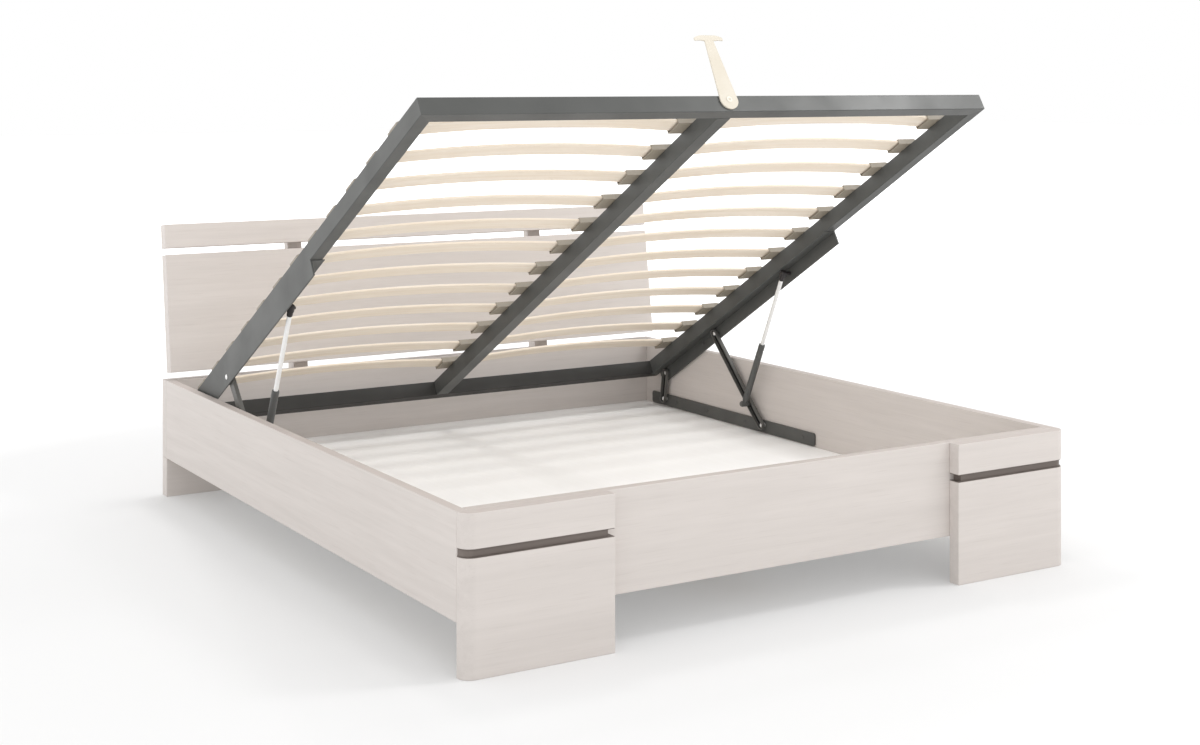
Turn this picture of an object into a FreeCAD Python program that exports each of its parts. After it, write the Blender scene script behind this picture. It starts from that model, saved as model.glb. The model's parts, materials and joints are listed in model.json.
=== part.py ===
import FreeCAD, Part
import Sketcher

import math
import os
import re
from types import SimpleNamespace

# Storage bed with a lifting slatted platform, drawn opened, in millimetres.
# X runs across the bed, Y from the foot to the headboard, Z up.
# The origin is on the floor under the middle of the bed's outline.

SIZES = [
    # box of side, foot and head boards
    ("inner_width", 1804),
    ("inner_length", 2018),
    ("side_thickness", 28),
    ("foot_panel_thickness", 28),
    ("top_height", 372),
    ("panel_height", 249),
    ("edge_radius", 2),
    # foot legs, each an upper block and a lower board on a set-back core
    ("leg_width", 396),
    ("leg_thickness", 36),
    ("leg_upper_height", 81),
    ("leg_groove_height", 20),
    ("leg_groove_depth", 15),
    ("leg_corner_radius", 33),
    # headboard: lower board on legs, leaning panel and top rail on two uprights
    ("head_thickness", 42),
    ("head_panel_width", 1842),
    ("head_panel_height", 377),
    ("head_rail_height", 77),
    ("head_rail_gap", 21),
    ("head_lower_gap", 27),
    ("head_panel_forward", 16),
    ("head_lean", 8),
    ("upright_width", 50),
    ("upright_spacing", 926),
    ("upright_thickness", 30),
    ("upright_top_cut", 25),
    ("upright_bottom_cut", 20),
    # floor of the storage box
    ("floor_top", 140),
    ("floor_thickness", 8),
    ("floor_gap", 1),
    ("cleat_width", 30),
    # battens inside the foot panel that the closed platform rests on
    ("rest_length", 500),
    ("rest_depth", 45),
    ("rest_height", 90),
    ("rest_side_gap", 60),
    ("bearer_width", 45),
    ("bearer_height", 40),
    ("bearer_setback", 150),
    ("bearer_foot_radius", 20),
    # platform frame of welded tubes, and where it stands opened and closed
    ("platform_length", 1995),
    ("platform_side_gap", 5),
    ("tube_height", 48),
    ("tube_width", 37),
    ("tube_wall", 2),
    ("centre_tube_width", 44),
    ("open_angle", 30.4),
    ("open_head_gap", 78),
    ("open_head_height", 242.5),
    ("closed_head_gap", 8),
    ("closed_height", 270),
    # lift: base rails, brackets, links and their pins
    ("rail_length", 964),
    ("rail_end_gap", 50),
    ("rail_height", 42),
    ("rail_depth", 6),
    ("rail_thickness", 3),
    ("rail_lift", 3),
    ("rail_screw_radius", 3),
    ("rail_screw_length", 22),
    ("rail_screw_head_radius", 6),
    ("rail_screw_head_height", 1.5),
    ("bracket_start", 35),
    ("bracket_length", 1170),
    ("bracket_drop", 45),
    ("bracket_flange", 40),
    ("bracket_thickness", 3),
    ("bracket_side_gap", 7),
    ("pivot_height", 169),
    ("pivot_drop", 20),
    ("rear_pivot_along", 80),
    ("front_pivot_along", 438),
    ("front_pivot_setback", 741),
    ("strut_foot_along", 92),
    ("strut_head_along", 932),
    ("link_width", 28),
    ("link_depth", 12),
    ("link_web", 3),
    ("link_gap", 3),
    ("pin_radius", 5),
    ("pin_head_radius", 7.5),
    ("pin_head_height", 3),
    ("pin_collar_radius", 8),
    ("pin_clearance", 0.05),
    ("slide_tail_height", 1.5),
    ("moving_gap", 0.4),
    # gas struts
    ("cylinder_radius", 11),
    ("cylinder_bore_radius", 9),
    ("cylinder_floor", 11),
    ("cylinder_cap", 4),
    ("rod_radius", 5.75),
    ("piston_length", 6),
    ("piston_end_gap", 1),
    ("strut_gap", 4),
    ("strut_eye_radius", 10),
    ("strut_eye_length", 26),
    ("rod_end_radius", 8),
    ("rod_end_length", 34),
    # slats and their holders
    ("slat_head_margin", 185),
    ("slat_foot_margin", 176),
    ("slat_width", 53),
    ("slat_thickness", 8),
    ("slat_rise", 20),
    ("holder_width", 60),
    ("holder_wall", 2.5),
    ("holder_overhang", 26),
    ("holder_outset", 8),
    ("holder_pocket_depth", 34),
    ("holder_pocket_rise", 4),
    ("holder_end_gap", 2),
    # pull handle on the foot tube
    ("handle_offset", 3),
    ("handle_rivet_height", 34),
    ("handle_foot_radius", 28),
    ("handle_reach", 188),
    ("handle_neck_width", 26),
    ("handle_bar_length", 92),
    ("handle_bar_height", 20),
    ("handle_thickness", 5),
    ("rivet_radius", 6),
    ("rivet_head_radius", 10),
    ("rivet_head_height", 3),
    # how far a cutting shape runs past what it cuts
    ("overrun", 5),
]
SLAT_COUNT = 12
BEARER_FOOT_SHARES = (0.3, 0.7)
FRONT_SCREW_SHARES = (0.23,)
MIDDLE_SCREW_SHARES = (0.19, 0.56, 0.89)
SIDES = {"left": -1, "right": 1}
X_AXIS = FreeCAD.Vector(1, 0, 0)
Y_AXIS = FreeCAD.Vector(0, 1, 0)
Z_AXIS = FreeCAD.Vector(0, 0, 1)
QUARTER_TURN = 90

doc = FreeCAD.newDocument("storage_bed")
sheet = doc.addObject("Spreadsheet::Sheet", "sizes")
v = SimpleNamespace()
subparts = {}


def keep(alias, number):
    """Put a number in the sheet under its name, and hold it for the sums below."""
    row = len(vars(v)) + 1
    sheet.set(f"A{row}", alias)
    sheet.set(f"B{row}", f"{number:.9f}")
    sheet.setAlias(f"B{row}", alias)
    setattr(v, alias, number)


def sized(text):
    """Write the sheet's name in front of every size that an expression uses."""
    def with_sheet(found):
        word = found.group()
        return f"sizes.{word}" if hasattr(v, word) else word
    return re.sub(r"[a-z_]+", with_sheet, text)


def bind(piece, **expressions):
    for name, text in expressions.items():
        piece.setExpression(name, sized(text))
    return piece


def put(piece, x, y, z, rotation=None):
    piece.Placement = FreeCAD.Placement(FreeCAD.Vector(x, y, z), rotation or FreeCAD.Rotation())
    return piece


def named(label, piece, frame=None):
    """Make a piece a sub-part under its name, carried into its own frame if it has one."""
    piece.Label = label
    if frame:
        piece.Placement = frame.multiply(piece.Placement)
    subparts[label] = piece
    return piece


def block(length, width, height, x, y, z):
    piece = doc.addObject("Part::Box", "block")
    bind(piece, Length=length, Width=width, Height=height)
    return put(piece, x, y, z)


def round_bar(radius, length, x, y, z, along):
    piece = doc.addObject("Part::Cylinder", "round_bar")
    bind(piece, Radius=radius, Height=length)
    return put(piece, x, y, z, FreeCAD.Rotation(Z_AXIS, along))


def fuse(*pieces):
    joined = doc.addObject("Part::MultiFuse", "joined")
    joined.Shapes = list(pieces)
    joined.Refine = True
    return joined


def group(*pieces):
    together = doc.addObject("Part::Compound", "together")
    together.Links = list(pieces)
    return together


def cut(base, *tools):
    piece = doc.addObject("Part::Cut", "cut")
    piece.Base = base
    piece.Tool = tools[0] if len(tools) == 1 else fuse(*tools)
    return piece


def outward(side, near, far):
    """Lowest X of something that lies between two distances from the middle plane."""
    return near if side > 0 else -far


def draw_outline(body, name, role, points):
    """Draw a closed outline of straight lines on one of the body's own planes."""
    sketch = body.newObject("Sketcher::SketchObject", name)
    plane = next(feature for feature in body.Origin.OriginFeatures if feature.Role == role)
    sketch.AttachmentSupport = (plane, [""])
    sketch.MapMode = "FlatFace"
    corners = [FreeCAD.Vector(a, b, 0) for a, b in points]
    for start, end in zip(corners, corners[1:] + corners[:1]):
        sketch.addGeometry(Part.LineSegment(start, end), False)
    count = len(corners)
    for line in range(count):
        sketch.addConstraint(Sketcher.Constraint("Coincident", line, 2, (line + 1) % count, 1))
    return sketch


def pad(body, sketch, length):
    piece = body.newObject("PartDesign::Pad", "pad")
    piece.Profile = sketch
    bind(piece, Length=length)
    doc.recompute()
    return piece


def rectangle(body, length, width):
    """Sketch a rectangle from the body's origin, its sides bound to the sheet."""
    corners = [(0, 0), (1, 0), (1, 1), (0, 1)]
    sketch = draw_outline(body, "outline", "XY_Plane", corners)
    for line, way in enumerate(("Horizontal", "Vertical", "Horizontal", "Vertical")):
        sketch.addConstraint(Sketcher.Constraint(way, line))
    sketch.addConstraint(Sketcher.Constraint("Coincident", 0, 1, -1, 1))
    for line, way, size in ((0, "DistanceX", length), (1, "DistanceY", width)):
        index = sketch.addConstraint(Sketcher.Constraint(way, line, 1, line, 2, 1))
        sketch.renameConstraint(index, way)
        sketch.setExpression(f"Constraints.{way}", sized(size))
    return sketch


def soften(body, piece, radius, edges=()):
    """Round chosen edges, or every edge, of a body's last feature."""
    rounding = body.newObject("PartDesign::Fillet", "rounding")
    rounding.Base = (piece, list(edges))
    rounding.UseAllEdges = not edges
    bind(rounding, Radius=radius)
    doc.recompute()
    return rounding


def board(length, width, height, x, y, z, rotation=None):
    """A wooden board with softened edges."""
    body = doc.addObject("PartDesign::Body", "board")
    piece = pad(body, rectangle(body, length, width), height)
    soften(body, piece, "edge_radius")
    return put(body, x, y, z, rotation)


def upright_edge(shape, x, y):
    """Name of the vertical edge at a corner of a padded rectangle."""
    for number, edge in enumerate(shape.Edges, 1):
        middle = edge.CenterOfMass
        if abs(middle.x - x) < v.edge_radius and abs(middle.y - y) < v.edge_radius:
            return f"Edge{number}"
    raise ValueError("no edge at that corner")


def round_cornered_board(length, width, height, x, y, z, corner_x):
    """A board whose outer front corner is rounded, with the other edges softened."""
    body = doc.addObject("PartDesign::Body", "board")
    piece = pad(body, rectangle(body, length, width), height)
    piece = soften(body, piece, "leg_corner_radius", [upright_edge(piece.Shape, corner_x, 0)])
    soften(body, piece, "edge_radius")
    return put(body, x, y, z)


def in_plane(point, angle, along, up):
    """A point reached from another one by distances along and square to a slope in Y and Z."""
    turn = math.radians(angle)
    return (point[0] + along * math.cos(turn) - up * math.sin(turn),
            point[1] + along * math.sin(turn) + up * math.cos(turn))


def angle_between(start, end):
    return math.degrees(math.atan2(end[1] - start[1], end[0] - start[0]))


for alias, number in SIZES:
    keep(alias, float(number))

# Box and headboard, measured from the front of the foot legs
keep("outer_width", v.inner_width + 2 * v.side_thickness)
keep("panel_bottom", v.top_height - v.panel_height)
keep("inner_front", v.leg_thickness + v.foot_panel_thickness)
keep("headboard_front", v.inner_front + v.inner_length)
keep("headboard_slope", v.head_panel_height + v.head_rail_gap + v.head_rail_height)
lean_axis = QUARTER_TURN - v.head_lean
panel_foot = (v.headboard_front - v.head_panel_forward, v.top_height + v.head_lower_gap)
panel_back = in_plane(panel_foot, lean_axis, 0, -v.head_thickness)
upright_top = v.headboard_slope - v.upright_top_cut
rail_back = in_plane(panel_back, lean_axis, v.headboard_slope, 0)
upright_back = in_plane(panel_back, lean_axis, upright_top, -v.upright_thickness)
keep("overall_depth", max(rail_back[0], upright_back[0]))
front = -v.overall_depth / 2

# Lift pivots as (Y, Z) places, in the same measure; closed places follow the flat platform
platform_head = (v.headboard_front - v.open_head_gap, v.open_head_height)
closed_head = (v.headboard_front - v.closed_head_gap, v.closed_height)
rear_top = in_plane(platform_head, -v.open_angle, -v.rear_pivot_along, -v.pivot_drop)
rear_top_closed = in_plane(closed_head, 0, -v.rear_pivot_along, -v.pivot_drop)
front_top = in_plane(platform_head, -v.open_angle, -v.front_pivot_along, -v.pivot_drop)
strut_top = in_plane(platform_head, -v.open_angle, -v.strut_head_along, -v.pivot_drop)
strut_top_closed = in_plane(closed_head, 0, -v.strut_head_along, -v.pivot_drop)
# the rear link's lower pivot lies as far from its upper pivot opened as closed
middle = ((rear_top[0] + rear_top_closed[0]) / 2, (rear_top[1] + rear_top_closed[1]) / 2)
shift = (rear_top_closed[0] - rear_top[0], rear_top_closed[1] - rear_top[1])
rear_base = (middle[0] - (v.pivot_height - middle[1]) * shift[1] / shift[0], v.pivot_height)
front_base = (v.headboard_front - v.front_pivot_setback, v.pivot_height)
keep("rear_link_length", math.dist(rear_base, rear_top))
keep("front_link_length", math.dist(front_base, front_top))
rear_angle = angle_between(rear_base, rear_top)
rear_angle_closed = angle_between(rear_base, rear_top_closed)
front_angle = angle_between(front_base, front_top)
# closed, the front link's upper pin has run along the bracket's slot at the pivots' height
pin_climb = v.closed_height - v.pivot_drop - v.pivot_height
front_angle_closed = math.degrees(math.asin(pin_climb / v.front_link_length))
front_top_closed = in_plane(front_base, front_angle_closed, v.front_link_length, 0)
keep("front_pin_closed_along", closed_head[0] - front_top_closed[0])
strut_base = in_plane(front_base, front_angle, v.strut_foot_along, 0)
strut_base_closed = in_plane(front_base, front_angle_closed, v.strut_foot_along, 0)
strut_angle = angle_between(strut_base, strut_top)
strut_angle_closed = angle_between(strut_base_closed, strut_top_closed)
keep("strut_length", math.dist(strut_base, strut_top))
keep("strut_stroke", v.strut_length - math.dist(strut_base_closed, strut_top_closed))
keep("piston_start", v.cylinder_floor + v.piston_end_gap + v.strut_stroke)
keep("cylinder_top", v.piston_start + v.piston_length + v.piston_end_gap + v.cylinder_cap)

# Distances of the lift's layers from the middle plane
keep("platform_width", v.inner_width - 2 * v.platform_side_gap)
keep("bracket_far", v.inner_width / 2 - v.bracket_side_gap)
keep("bracket_face", v.bracket_far - v.bracket_thickness)
keep("link_far", v.bracket_face - v.link_gap)
keep("link_near", v.link_far - v.link_depth)
keep("web_face", v.link_far - v.link_web)
keep("rail_face", v.inner_width / 2 - v.rail_depth)
keep("strut_middle", v.link_near - v.strut_gap - v.cylinder_radius)
keep("pin_hole_radius", v.pin_radius + v.pin_clearance)
keep("slot_radius", v.pin_radius + v.moving_gap)

# Slats: each bows up between a holder on a side tube and one on the centre tube
slat_reach = v.holder_pocket_depth - v.holder_overhang - v.holder_end_gap
slat_outer_end = v.platform_width / 2 - v.tube_width + slat_reach
slat_inner_end = v.centre_tube_width / 2 - slat_reach
slat_middle = (slat_outer_end + slat_inner_end) / 2
slat_chord = slat_outer_end - slat_inner_end
keep("slat_radius", slat_chord ** 2 / (8 * v.slat_rise) + v.slat_rise / 2)
keep("slat_sweep", 2 * math.degrees(math.asin(slat_chord / 2 / v.slat_radius)))
keep("slat_seat", v.tube_height + v.holder_wall + v.moving_gap)
keep("slat_pitch", (v.platform_length - v.slat_head_margin - v.slat_foot_margin) / (SLAT_COUNT - 1))
keep("holder_height", 2 * v.holder_wall + v.slat_thickness + v.holder_pocket_rise)

PLATFORM = FreeCAD.Placement(
    FreeCAD.Vector(0, front + platform_head[0], platform_head[1]),
    FreeCAD.Rotation(X_AXIS, -v.open_angle))


def frame_at(point, angle):
    """Frame at a pivot, its Y axis along a bar that stands at this angle."""
    return FreeCAD.Placement(FreeCAD.Vector(0, front + point[0], point[1]), FreeCAD.Rotation(X_AXIS, angle))


def make_box():
    half = v.outer_width / 2
    side_start = front + v.leg_thickness
    for name, side in SIDES.items():
        panel = board("side_thickness", "inner_length + foot_panel_thickness", "panel_height",
                      outward(side, v.inner_width / 2, half), side_start, v.panel_bottom)
        named(f"side_panel_{name}", panel)
    panel = board("inner_width", "foot_panel_thickness", "panel_height",
                  -v.inner_width / 2, side_start, v.panel_bottom)
    named("foot_panel", panel)


def make_foot_legs():
    half = v.outer_width / 2
    upper_bottom = v.top_height - v.leg_upper_height
    lower_top = upper_bottom - v.leg_groove_height
    for name, side in SIDES.items():
        low_x = outward(side, half - v.leg_width, half)
        corner_x = v.leg_width if side > 0 else 0
        upper = round_cornered_board("leg_width", "leg_thickness", "leg_upper_height",
                                     low_x, front, upper_bottom, corner_x)
        named(f"foot_leg_upper_{name}", upper)
        lower = round_cornered_board("leg_width", "leg_thickness",
                                     "top_height - leg_upper_height - leg_groove_height",
                                     low_x, front, 0, corner_x)
        named(f"foot_leg_lower_{name}", lower)
        core = block("leg_width - 2 * leg_groove_depth", "leg_thickness - leg_groove_depth",
                     "leg_groove_height",
                     low_x + v.leg_groove_depth, front + v.leg_groove_depth, lower_top)
        named(f"foot_leg_core_{name}", core)


def make_headboard():
    half = v.outer_width / 2
    board_front = front + v.headboard_front
    lower = board("outer_width", "head_thickness", "panel_height", -half, board_front, v.panel_bottom)
    named("headboard_lower_board", lower)
    for name, side in SIDES.items():
        leg = board("leg_width", "head_thickness", "panel_bottom",
                    outward(side, half - v.leg_width, half), board_front, 0)
        named(f"headboard_leg_{name}", leg)
    lean = FreeCAD.Rotation(X_AXIS, -v.head_lean)
    rail_foot = in_plane(panel_foot, lean_axis, v.head_panel_height + v.head_rail_gap, 0)
    panel = board("head_panel_width", "head_thickness", "head_panel_height",
                  -v.head_panel_width / 2, front + panel_foot[0], panel_foot[1], lean)
    named("headboard_panel", panel)
    rail = board("head_panel_width", "head_thickness", "head_rail_height",
                 -v.head_panel_width / 2, front + rail_foot[0], rail_foot[1], lean)
    named("headboard_top_rail", rail)


def make_uprights():
    """Bent uprights: they stand behind the lower board and lean with the panel and rail."""
    board_back = v.headboard_front + v.head_thickness
    rise = (v.top_height - panel_back[1]) / math.sin(math.radians(lean_axis))
    seat = in_plane(panel_back, lean_axis, rise, 0)
    back_line = in_plane(panel_back, lean_axis, 0, -v.upright_thickness)
    upright_rear = board_back + v.upright_thickness
    bend = back_line[1] + (upright_rear - back_line[0]) / math.tan(math.radians(v.head_lean))
    bottom = v.panel_bottom + v.upright_bottom_cut
    profile = [(board_back, bottom), (board_back, v.top_height), seat,
               in_plane(panel_back, lean_axis, upright_top, 0), upright_back,
               (upright_rear, bend), (upright_rear, bottom)]
    for name, side in SIDES.items():
        body = doc.addObject("PartDesign::Body", "upright")
        sketch = draw_outline(body, "profile", "YZ_Plane", [(front + y, z) for y, z in profile])
        pad(body, sketch, "upright_width")
        low_x = side * v.upright_spacing / 2 - v.upright_width / 2
        named(f"headboard_upright_{name}", put(body, low_x, 0, 0))


def make_storage_floor():
    floor_bottom = v.floor_top - v.floor_thickness
    start = front + v.inner_front
    battens = []
    for name, side in SIDES.items():
        sheet_board = block("inner_width / 2 - floor_gap", "inner_length - 2 * floor_gap", "floor_thickness",
                            outward(side, 0, v.inner_width / 2 - v.floor_gap),
                            start + v.floor_gap, floor_bottom)
        named(f"storage_floor_{name}", sheet_board)
        cleat_x = outward(side, v.inner_width / 2 - v.cleat_width, v.inner_width / 2)
        battens.append(block("cleat_width", "inner_length", "floor_top - floor_thickness - panel_bottom",
                             cleat_x, start, v.panel_bottom))
        rest_far = v.inner_width / 2 - v.rest_side_gap
        battens.append(block("rest_length", "rest_depth", "rest_height",
                             outward(side, rest_far - v.rest_length, rest_far), start,
                             v.closed_height - v.moving_gap - v.rest_height))
    named("box_battens", group(*battens))
    bearer_bottom = floor_bottom - v.bearer_height
    bearer = block("bearer_width", "inner_length - 2 * bearer_setback", "bearer_height",
                   -v.bearer_width / 2, start + v.bearer_setback, bearer_bottom)
    named("floor_bearer", bearer)
    feet = []
    for share in BEARER_FOOT_SHARES:
        foot_y = start + share * v.inner_length
        feet.append(round_bar("bearer_foot_radius", "floor_top - floor_thickness - bearer_height",
                              0, foot_y, 0, Z_AXIS))
    named("floor_bearer_feet", group(*feet))


def rail_screw_places():
    """Screws stand between the rail's front end and the front pivot, and between the two pivots."""
    start = v.headboard_front - v.rail_end_gap - v.rail_length
    front_part = front_base[0] - start
    middle_part = rear_base[0] - front_base[0]
    places = [start + share * front_part for share in FRONT_SCREW_SHARES]
    places += [front_base[0] + share * middle_part for share in MIDDLE_SCREW_SHARES]
    return [front + place for place in places]


def make_base_rails():
    """Steel channels low on the side panels, open to the panel, with their screws."""
    half = v.inner_width / 2
    start = front + v.headboard_front - v.rail_end_gap - v.rail_length
    bottom = v.floor_top + v.rail_lift
    screw_z = bottom + v.rail_height / 2
    screws = []
    for name, side in SIDES.items():
        bar = block("rail_depth", "rail_length", "rail_height",
                    outward(side, v.rail_face, half), start, bottom)
        hollow_x = outward(side, v.rail_face + v.rail_thickness, half + v.overrun)
        hollow = block("rail_depth - rail_thickness + overrun", "rail_length + 2 * overrun",
                       "rail_height - 2 * rail_thickness",
                       hollow_x, start - v.overrun, bottom + v.rail_thickness)
        holes = []
        for y in rail_screw_places():
            hole_x = outward(side, v.rail_face - v.overrun, half + v.overrun)
            holes.append(round_bar("rail_screw_radius + pin_clearance", "rail_depth + 2 * overrun",
                                   hole_x, y, screw_z, X_AXIS))
            shank_x = outward(side, v.rail_face, v.rail_face + v.rail_screw_length)
            shank = round_bar("rail_screw_radius", "rail_screw_length", shank_x, y, screw_z, X_AXIS)
            head_x = outward(side, v.rail_face - v.rail_screw_head_height, v.rail_face)
            head = round_bar("rail_screw_head_radius", "rail_screw_head_height", head_x, y, screw_z, X_AXIS)
            screws.append(fuse(shank, head))
        named(f"base_rail_{name}", cut(bar, hollow, *holes))
    named("base_rail_screws", group(*screws))


def pivot_pin(side, y, z, seat_face, seat):
    """A headed pin that stands on a flat face and carries a link's web."""
    head_far = v.web_face - v.moving_gap
    head_near = head_far - v.pin_head_height
    collar_near = v.link_far + v.moving_gap
    shank = round_bar("pin_radius", f"{seat} - web_face + moving_gap + pin_head_height",
                      outward(side, head_near, seat_face), y, z, X_AXIS)
    head = round_bar("pin_head_radius", "pin_head_height", outward(side, head_near, head_far), y, z, X_AXIS)
    collar = round_bar("pin_collar_radius", f"{seat} - link_far - moving_gap",
                       outward(side, collar_near, seat_face), y, z, X_AXIS)
    return fuse(shank, head, collar)


def make_base_pins():
    """Headed pins for the rear links, and short studs that stop just behind the front links."""
    pins = []
    for side in SIDES.values():
        pins.append(pivot_pin(side, front + rear_base[0], rear_base[1], v.rail_face, "rail_face"))
        stud_x = outward(side, v.link_far + v.moving_gap, v.rail_face)
        pins.append(round_bar("pin_collar_radius", "rail_face - link_far - moving_gap",
                              stud_x, front + front_base[0], front_base[1], X_AXIS))
    named("base_pivot_pins", group(*pins))


def rounded_bar(side, length, radius, depth, near, far):
    """A bar with round ends from a pivot at the origin along Y."""
    low_x = outward(side, near, far)
    straight = block(depth, length, f"2 * ({radius})", low_x, 0, 0)
    ends = [round_bar(radius, depth, low_x, 0, 0, X_AXIS), round_bar(radius, depth, low_x, 0, 0, X_AXIS)]
    bar = fuse(straight, *ends)
    return bar, straight, ends[1]


def channel(side, length_name, holes_along):
    """A link pressed from sheet: a web with a turned-in rim, open to the inside of the bed."""
    length = getattr(v, length_name)
    outer, straight, end = rounded_bar(side, length_name, "link_width / 2", "link_depth",
                                       v.link_near, v.link_far)
    straight.Placement.Base.z = -v.link_width / 2
    end.Placement.Base.y = length
    inner, hollow, tip = rounded_bar(side, length_name, "link_width / 2 - link_web",
                                     "link_depth - link_web + overrun", v.link_near - v.overrun, v.web_face)
    hollow.Placement.Base.z = v.link_web - v.link_width / 2
    tip.Placement.Base.y = length
    bores = []
    for along in holes_along:
        low_x = outward(side, v.link_near, v.link_far + v.overrun)
        bores.append(round_bar("pin_hole_radius", "link_depth + overrun", low_x, along, 0, X_AXIS))
    return cut(outer, inner, *bores)


def make_rear_links():
    frame = frame_at(rear_base, rear_angle)
    for name, side in SIDES.items():
        link = channel(side, "rear_link_length", (0, v.rear_link_length))
        named(f"rear_link_{name}", link, frame)


def make_front_links():
    """Long links with a riveted boss pin that carries the strut's foot."""
    frame = frame_at(front_base, front_angle)
    boss_near = v.strut_middle - v.strut_eye_length / 2 - v.moving_gap
    along = v.strut_foot_along
    for name, side in SIDES.items():
        bar = channel(side, "front_link_length", (0, v.front_link_length))
        boss = round_bar("pin_radius", "web_face - strut_middle + strut_eye_length / 2 + moving_gap",
                         outward(side, boss_near, v.web_face), along, 0, X_AXIS)
        boss_head = round_bar("pin_head_radius", "pin_head_height",
                              outward(side, boss_near - v.pin_head_height, boss_near), along, 0, X_AXIS)
        boss_collar = round_bar("pin_collar_radius", "link_depth - link_web",
                                outward(side, v.link_near, v.web_face), along, 0, X_AXIS)
        named(f"front_link_{name}", fuse(bar, boss, boss_head, boss_collar), frame)


def make_slide_pins():
    """Pins that carry the front links' tops and slide along the brackets' slots."""
    head_far = v.web_face - v.moving_gap
    head_near = head_far - v.pin_head_height
    tail_near = v.bracket_far + v.moving_gap
    tail_far = tail_near + v.slide_tail_height
    for name, side in SIDES.items():
        y = -v.front_pivot_along
        z = -v.pivot_drop
        shank = round_bar("pin_radius", "bracket_far + slide_tail_height - web_face + 2 * moving_gap",
                          outward(side, head_far, tail_far), y, z, X_AXIS)
        head = round_bar("pin_head_radius", "pin_head_height",
                         outward(side, head_near, head_far), y, z, X_AXIS)
        tail = round_bar("pin_collar_radius", "slide_tail_height",
                         outward(side, tail_near, tail_far), y, z, X_AXIS)
        named(f"slide_pin_{name}", fuse(shank, head, tail), PLATFORM)


def make_struts():
    """Gas struts: a cylinder hung on the front link's boss and a rod with a piston and an end eye."""
    frame = frame_at(strut_base, strut_angle)
    for name, side in SIDES.items():
        middle_x = side * v.strut_middle
        eye_x = middle_x - v.strut_eye_length / 2
        barrel = round_bar("cylinder_radius", "cylinder_top - strut_eye_radius / 2",
                           middle_x, v.strut_eye_radius / 2, 0, Y_AXIS)
        eye = round_bar("strut_eye_radius", "strut_eye_length", eye_x, 0, 0, X_AXIS)
        eye_room = round_bar("pin_hole_radius", "strut_eye_length + 2 * overrun",
                             eye_x - v.overrun, 0, 0, X_AXIS)
        bore = round_bar("cylinder_bore_radius", "cylinder_top - cylinder_cap - cylinder_floor",
                         middle_x, v.cylinder_floor, 0, Y_AXIS)
        mouth = round_bar("rod_radius + pin_clearance", "cylinder_cap + 2 * overrun",
                          middle_x, v.cylinder_top - v.cylinder_cap - v.overrun, 0, Y_AXIS)
        cylinder = cut(fuse(barrel, eye), eye_room, bore, mouth)
        named(f"strut_cylinder_{name}", cylinder, frame)
        piston = round_bar("cylinder_bore_radius - pin_clearance", "piston_length",
                           middle_x, v.piston_start, 0, Y_AXIS)
        rod = round_bar("rod_radius", "strut_length - piston_start", middle_x, v.piston_start, 0, Y_AXIS)
        rod_end = round_bar("rod_end_radius", "rod_end_length", middle_x,
                            v.strut_length - v.rod_end_length, 0, Y_AXIS)
        top_eye = round_bar("strut_eye_radius", "strut_eye_length", eye_x, v.strut_length, 0, X_AXIS)
        stud = round_bar("pin_radius", "bracket_face - moving_gap - strut_middle",
                         outward(side, v.strut_middle, v.bracket_face - v.moving_gap),
                         v.strut_length, 0, X_AXIS)
        named(f"strut_rod_{name}", fuse(piston, rod, rod_end, top_eye, stud), frame)


def mitred_tube(length, turn, x, y):
    """A square-cut hollow tube whose ends are mitred towards its inner edge."""
    def bar(inset):
        wedge = doc.addObject("Part::Wedge", "mitred_bar")
        bind(wedge, Xmin=inset, Xmax=f"{length} - {inset}", Ymin=inset, Ymax=f"tube_width - {inset}",
             X2min=f"tube_width - {inset}", X2max=f"{length} - tube_width + {inset}",
             Zmin=inset, Zmax=f"tube_height - {inset}", Z2min=inset, Z2max=f"tube_height - {inset}")
        return wedge
    tube = cut(bar("0 * tube_wall"), bar("tube_wall"))
    return put(tube, x, y, 0, FreeCAD.Rotation(Z_AXIS, turn))


def make_platform_frame():
    half = v.platform_width / 2
    long_y = -v.platform_length
    foot = mitred_tube("platform_width", 0, -half, long_y)
    named("frame_tube_foot", foot, PLATFORM)
    head = mitred_tube("platform_width", 2 * QUARTER_TURN, half, 0)
    named("frame_tube_head", head, PLATFORM)
    left = mitred_tube("platform_length", -QUARTER_TURN, -half, 0)
    named("frame_tube_left", left, PLATFORM)
    right = mitred_tube("platform_length", QUARTER_TURN, half, long_y)
    named("frame_tube_right", right, PLATFORM)
    centre = block("centre_tube_width", "platform_length - 2 * tube_width", "tube_height",
                   -v.centre_tube_width / 2, long_y + v.tube_width, 0)
    hollow = block("centre_tube_width - 2 * tube_wall", "platform_length - 2 * tube_width + 2 * overrun",
                   "tube_height - 2 * tube_wall", v.tube_wall - v.centre_tube_width / 2,
                   long_y + v.tube_width - v.overrun, v.tube_wall)
    named("frame_tube_centre", cut(centre, hollow), PLATFORM)


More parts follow.
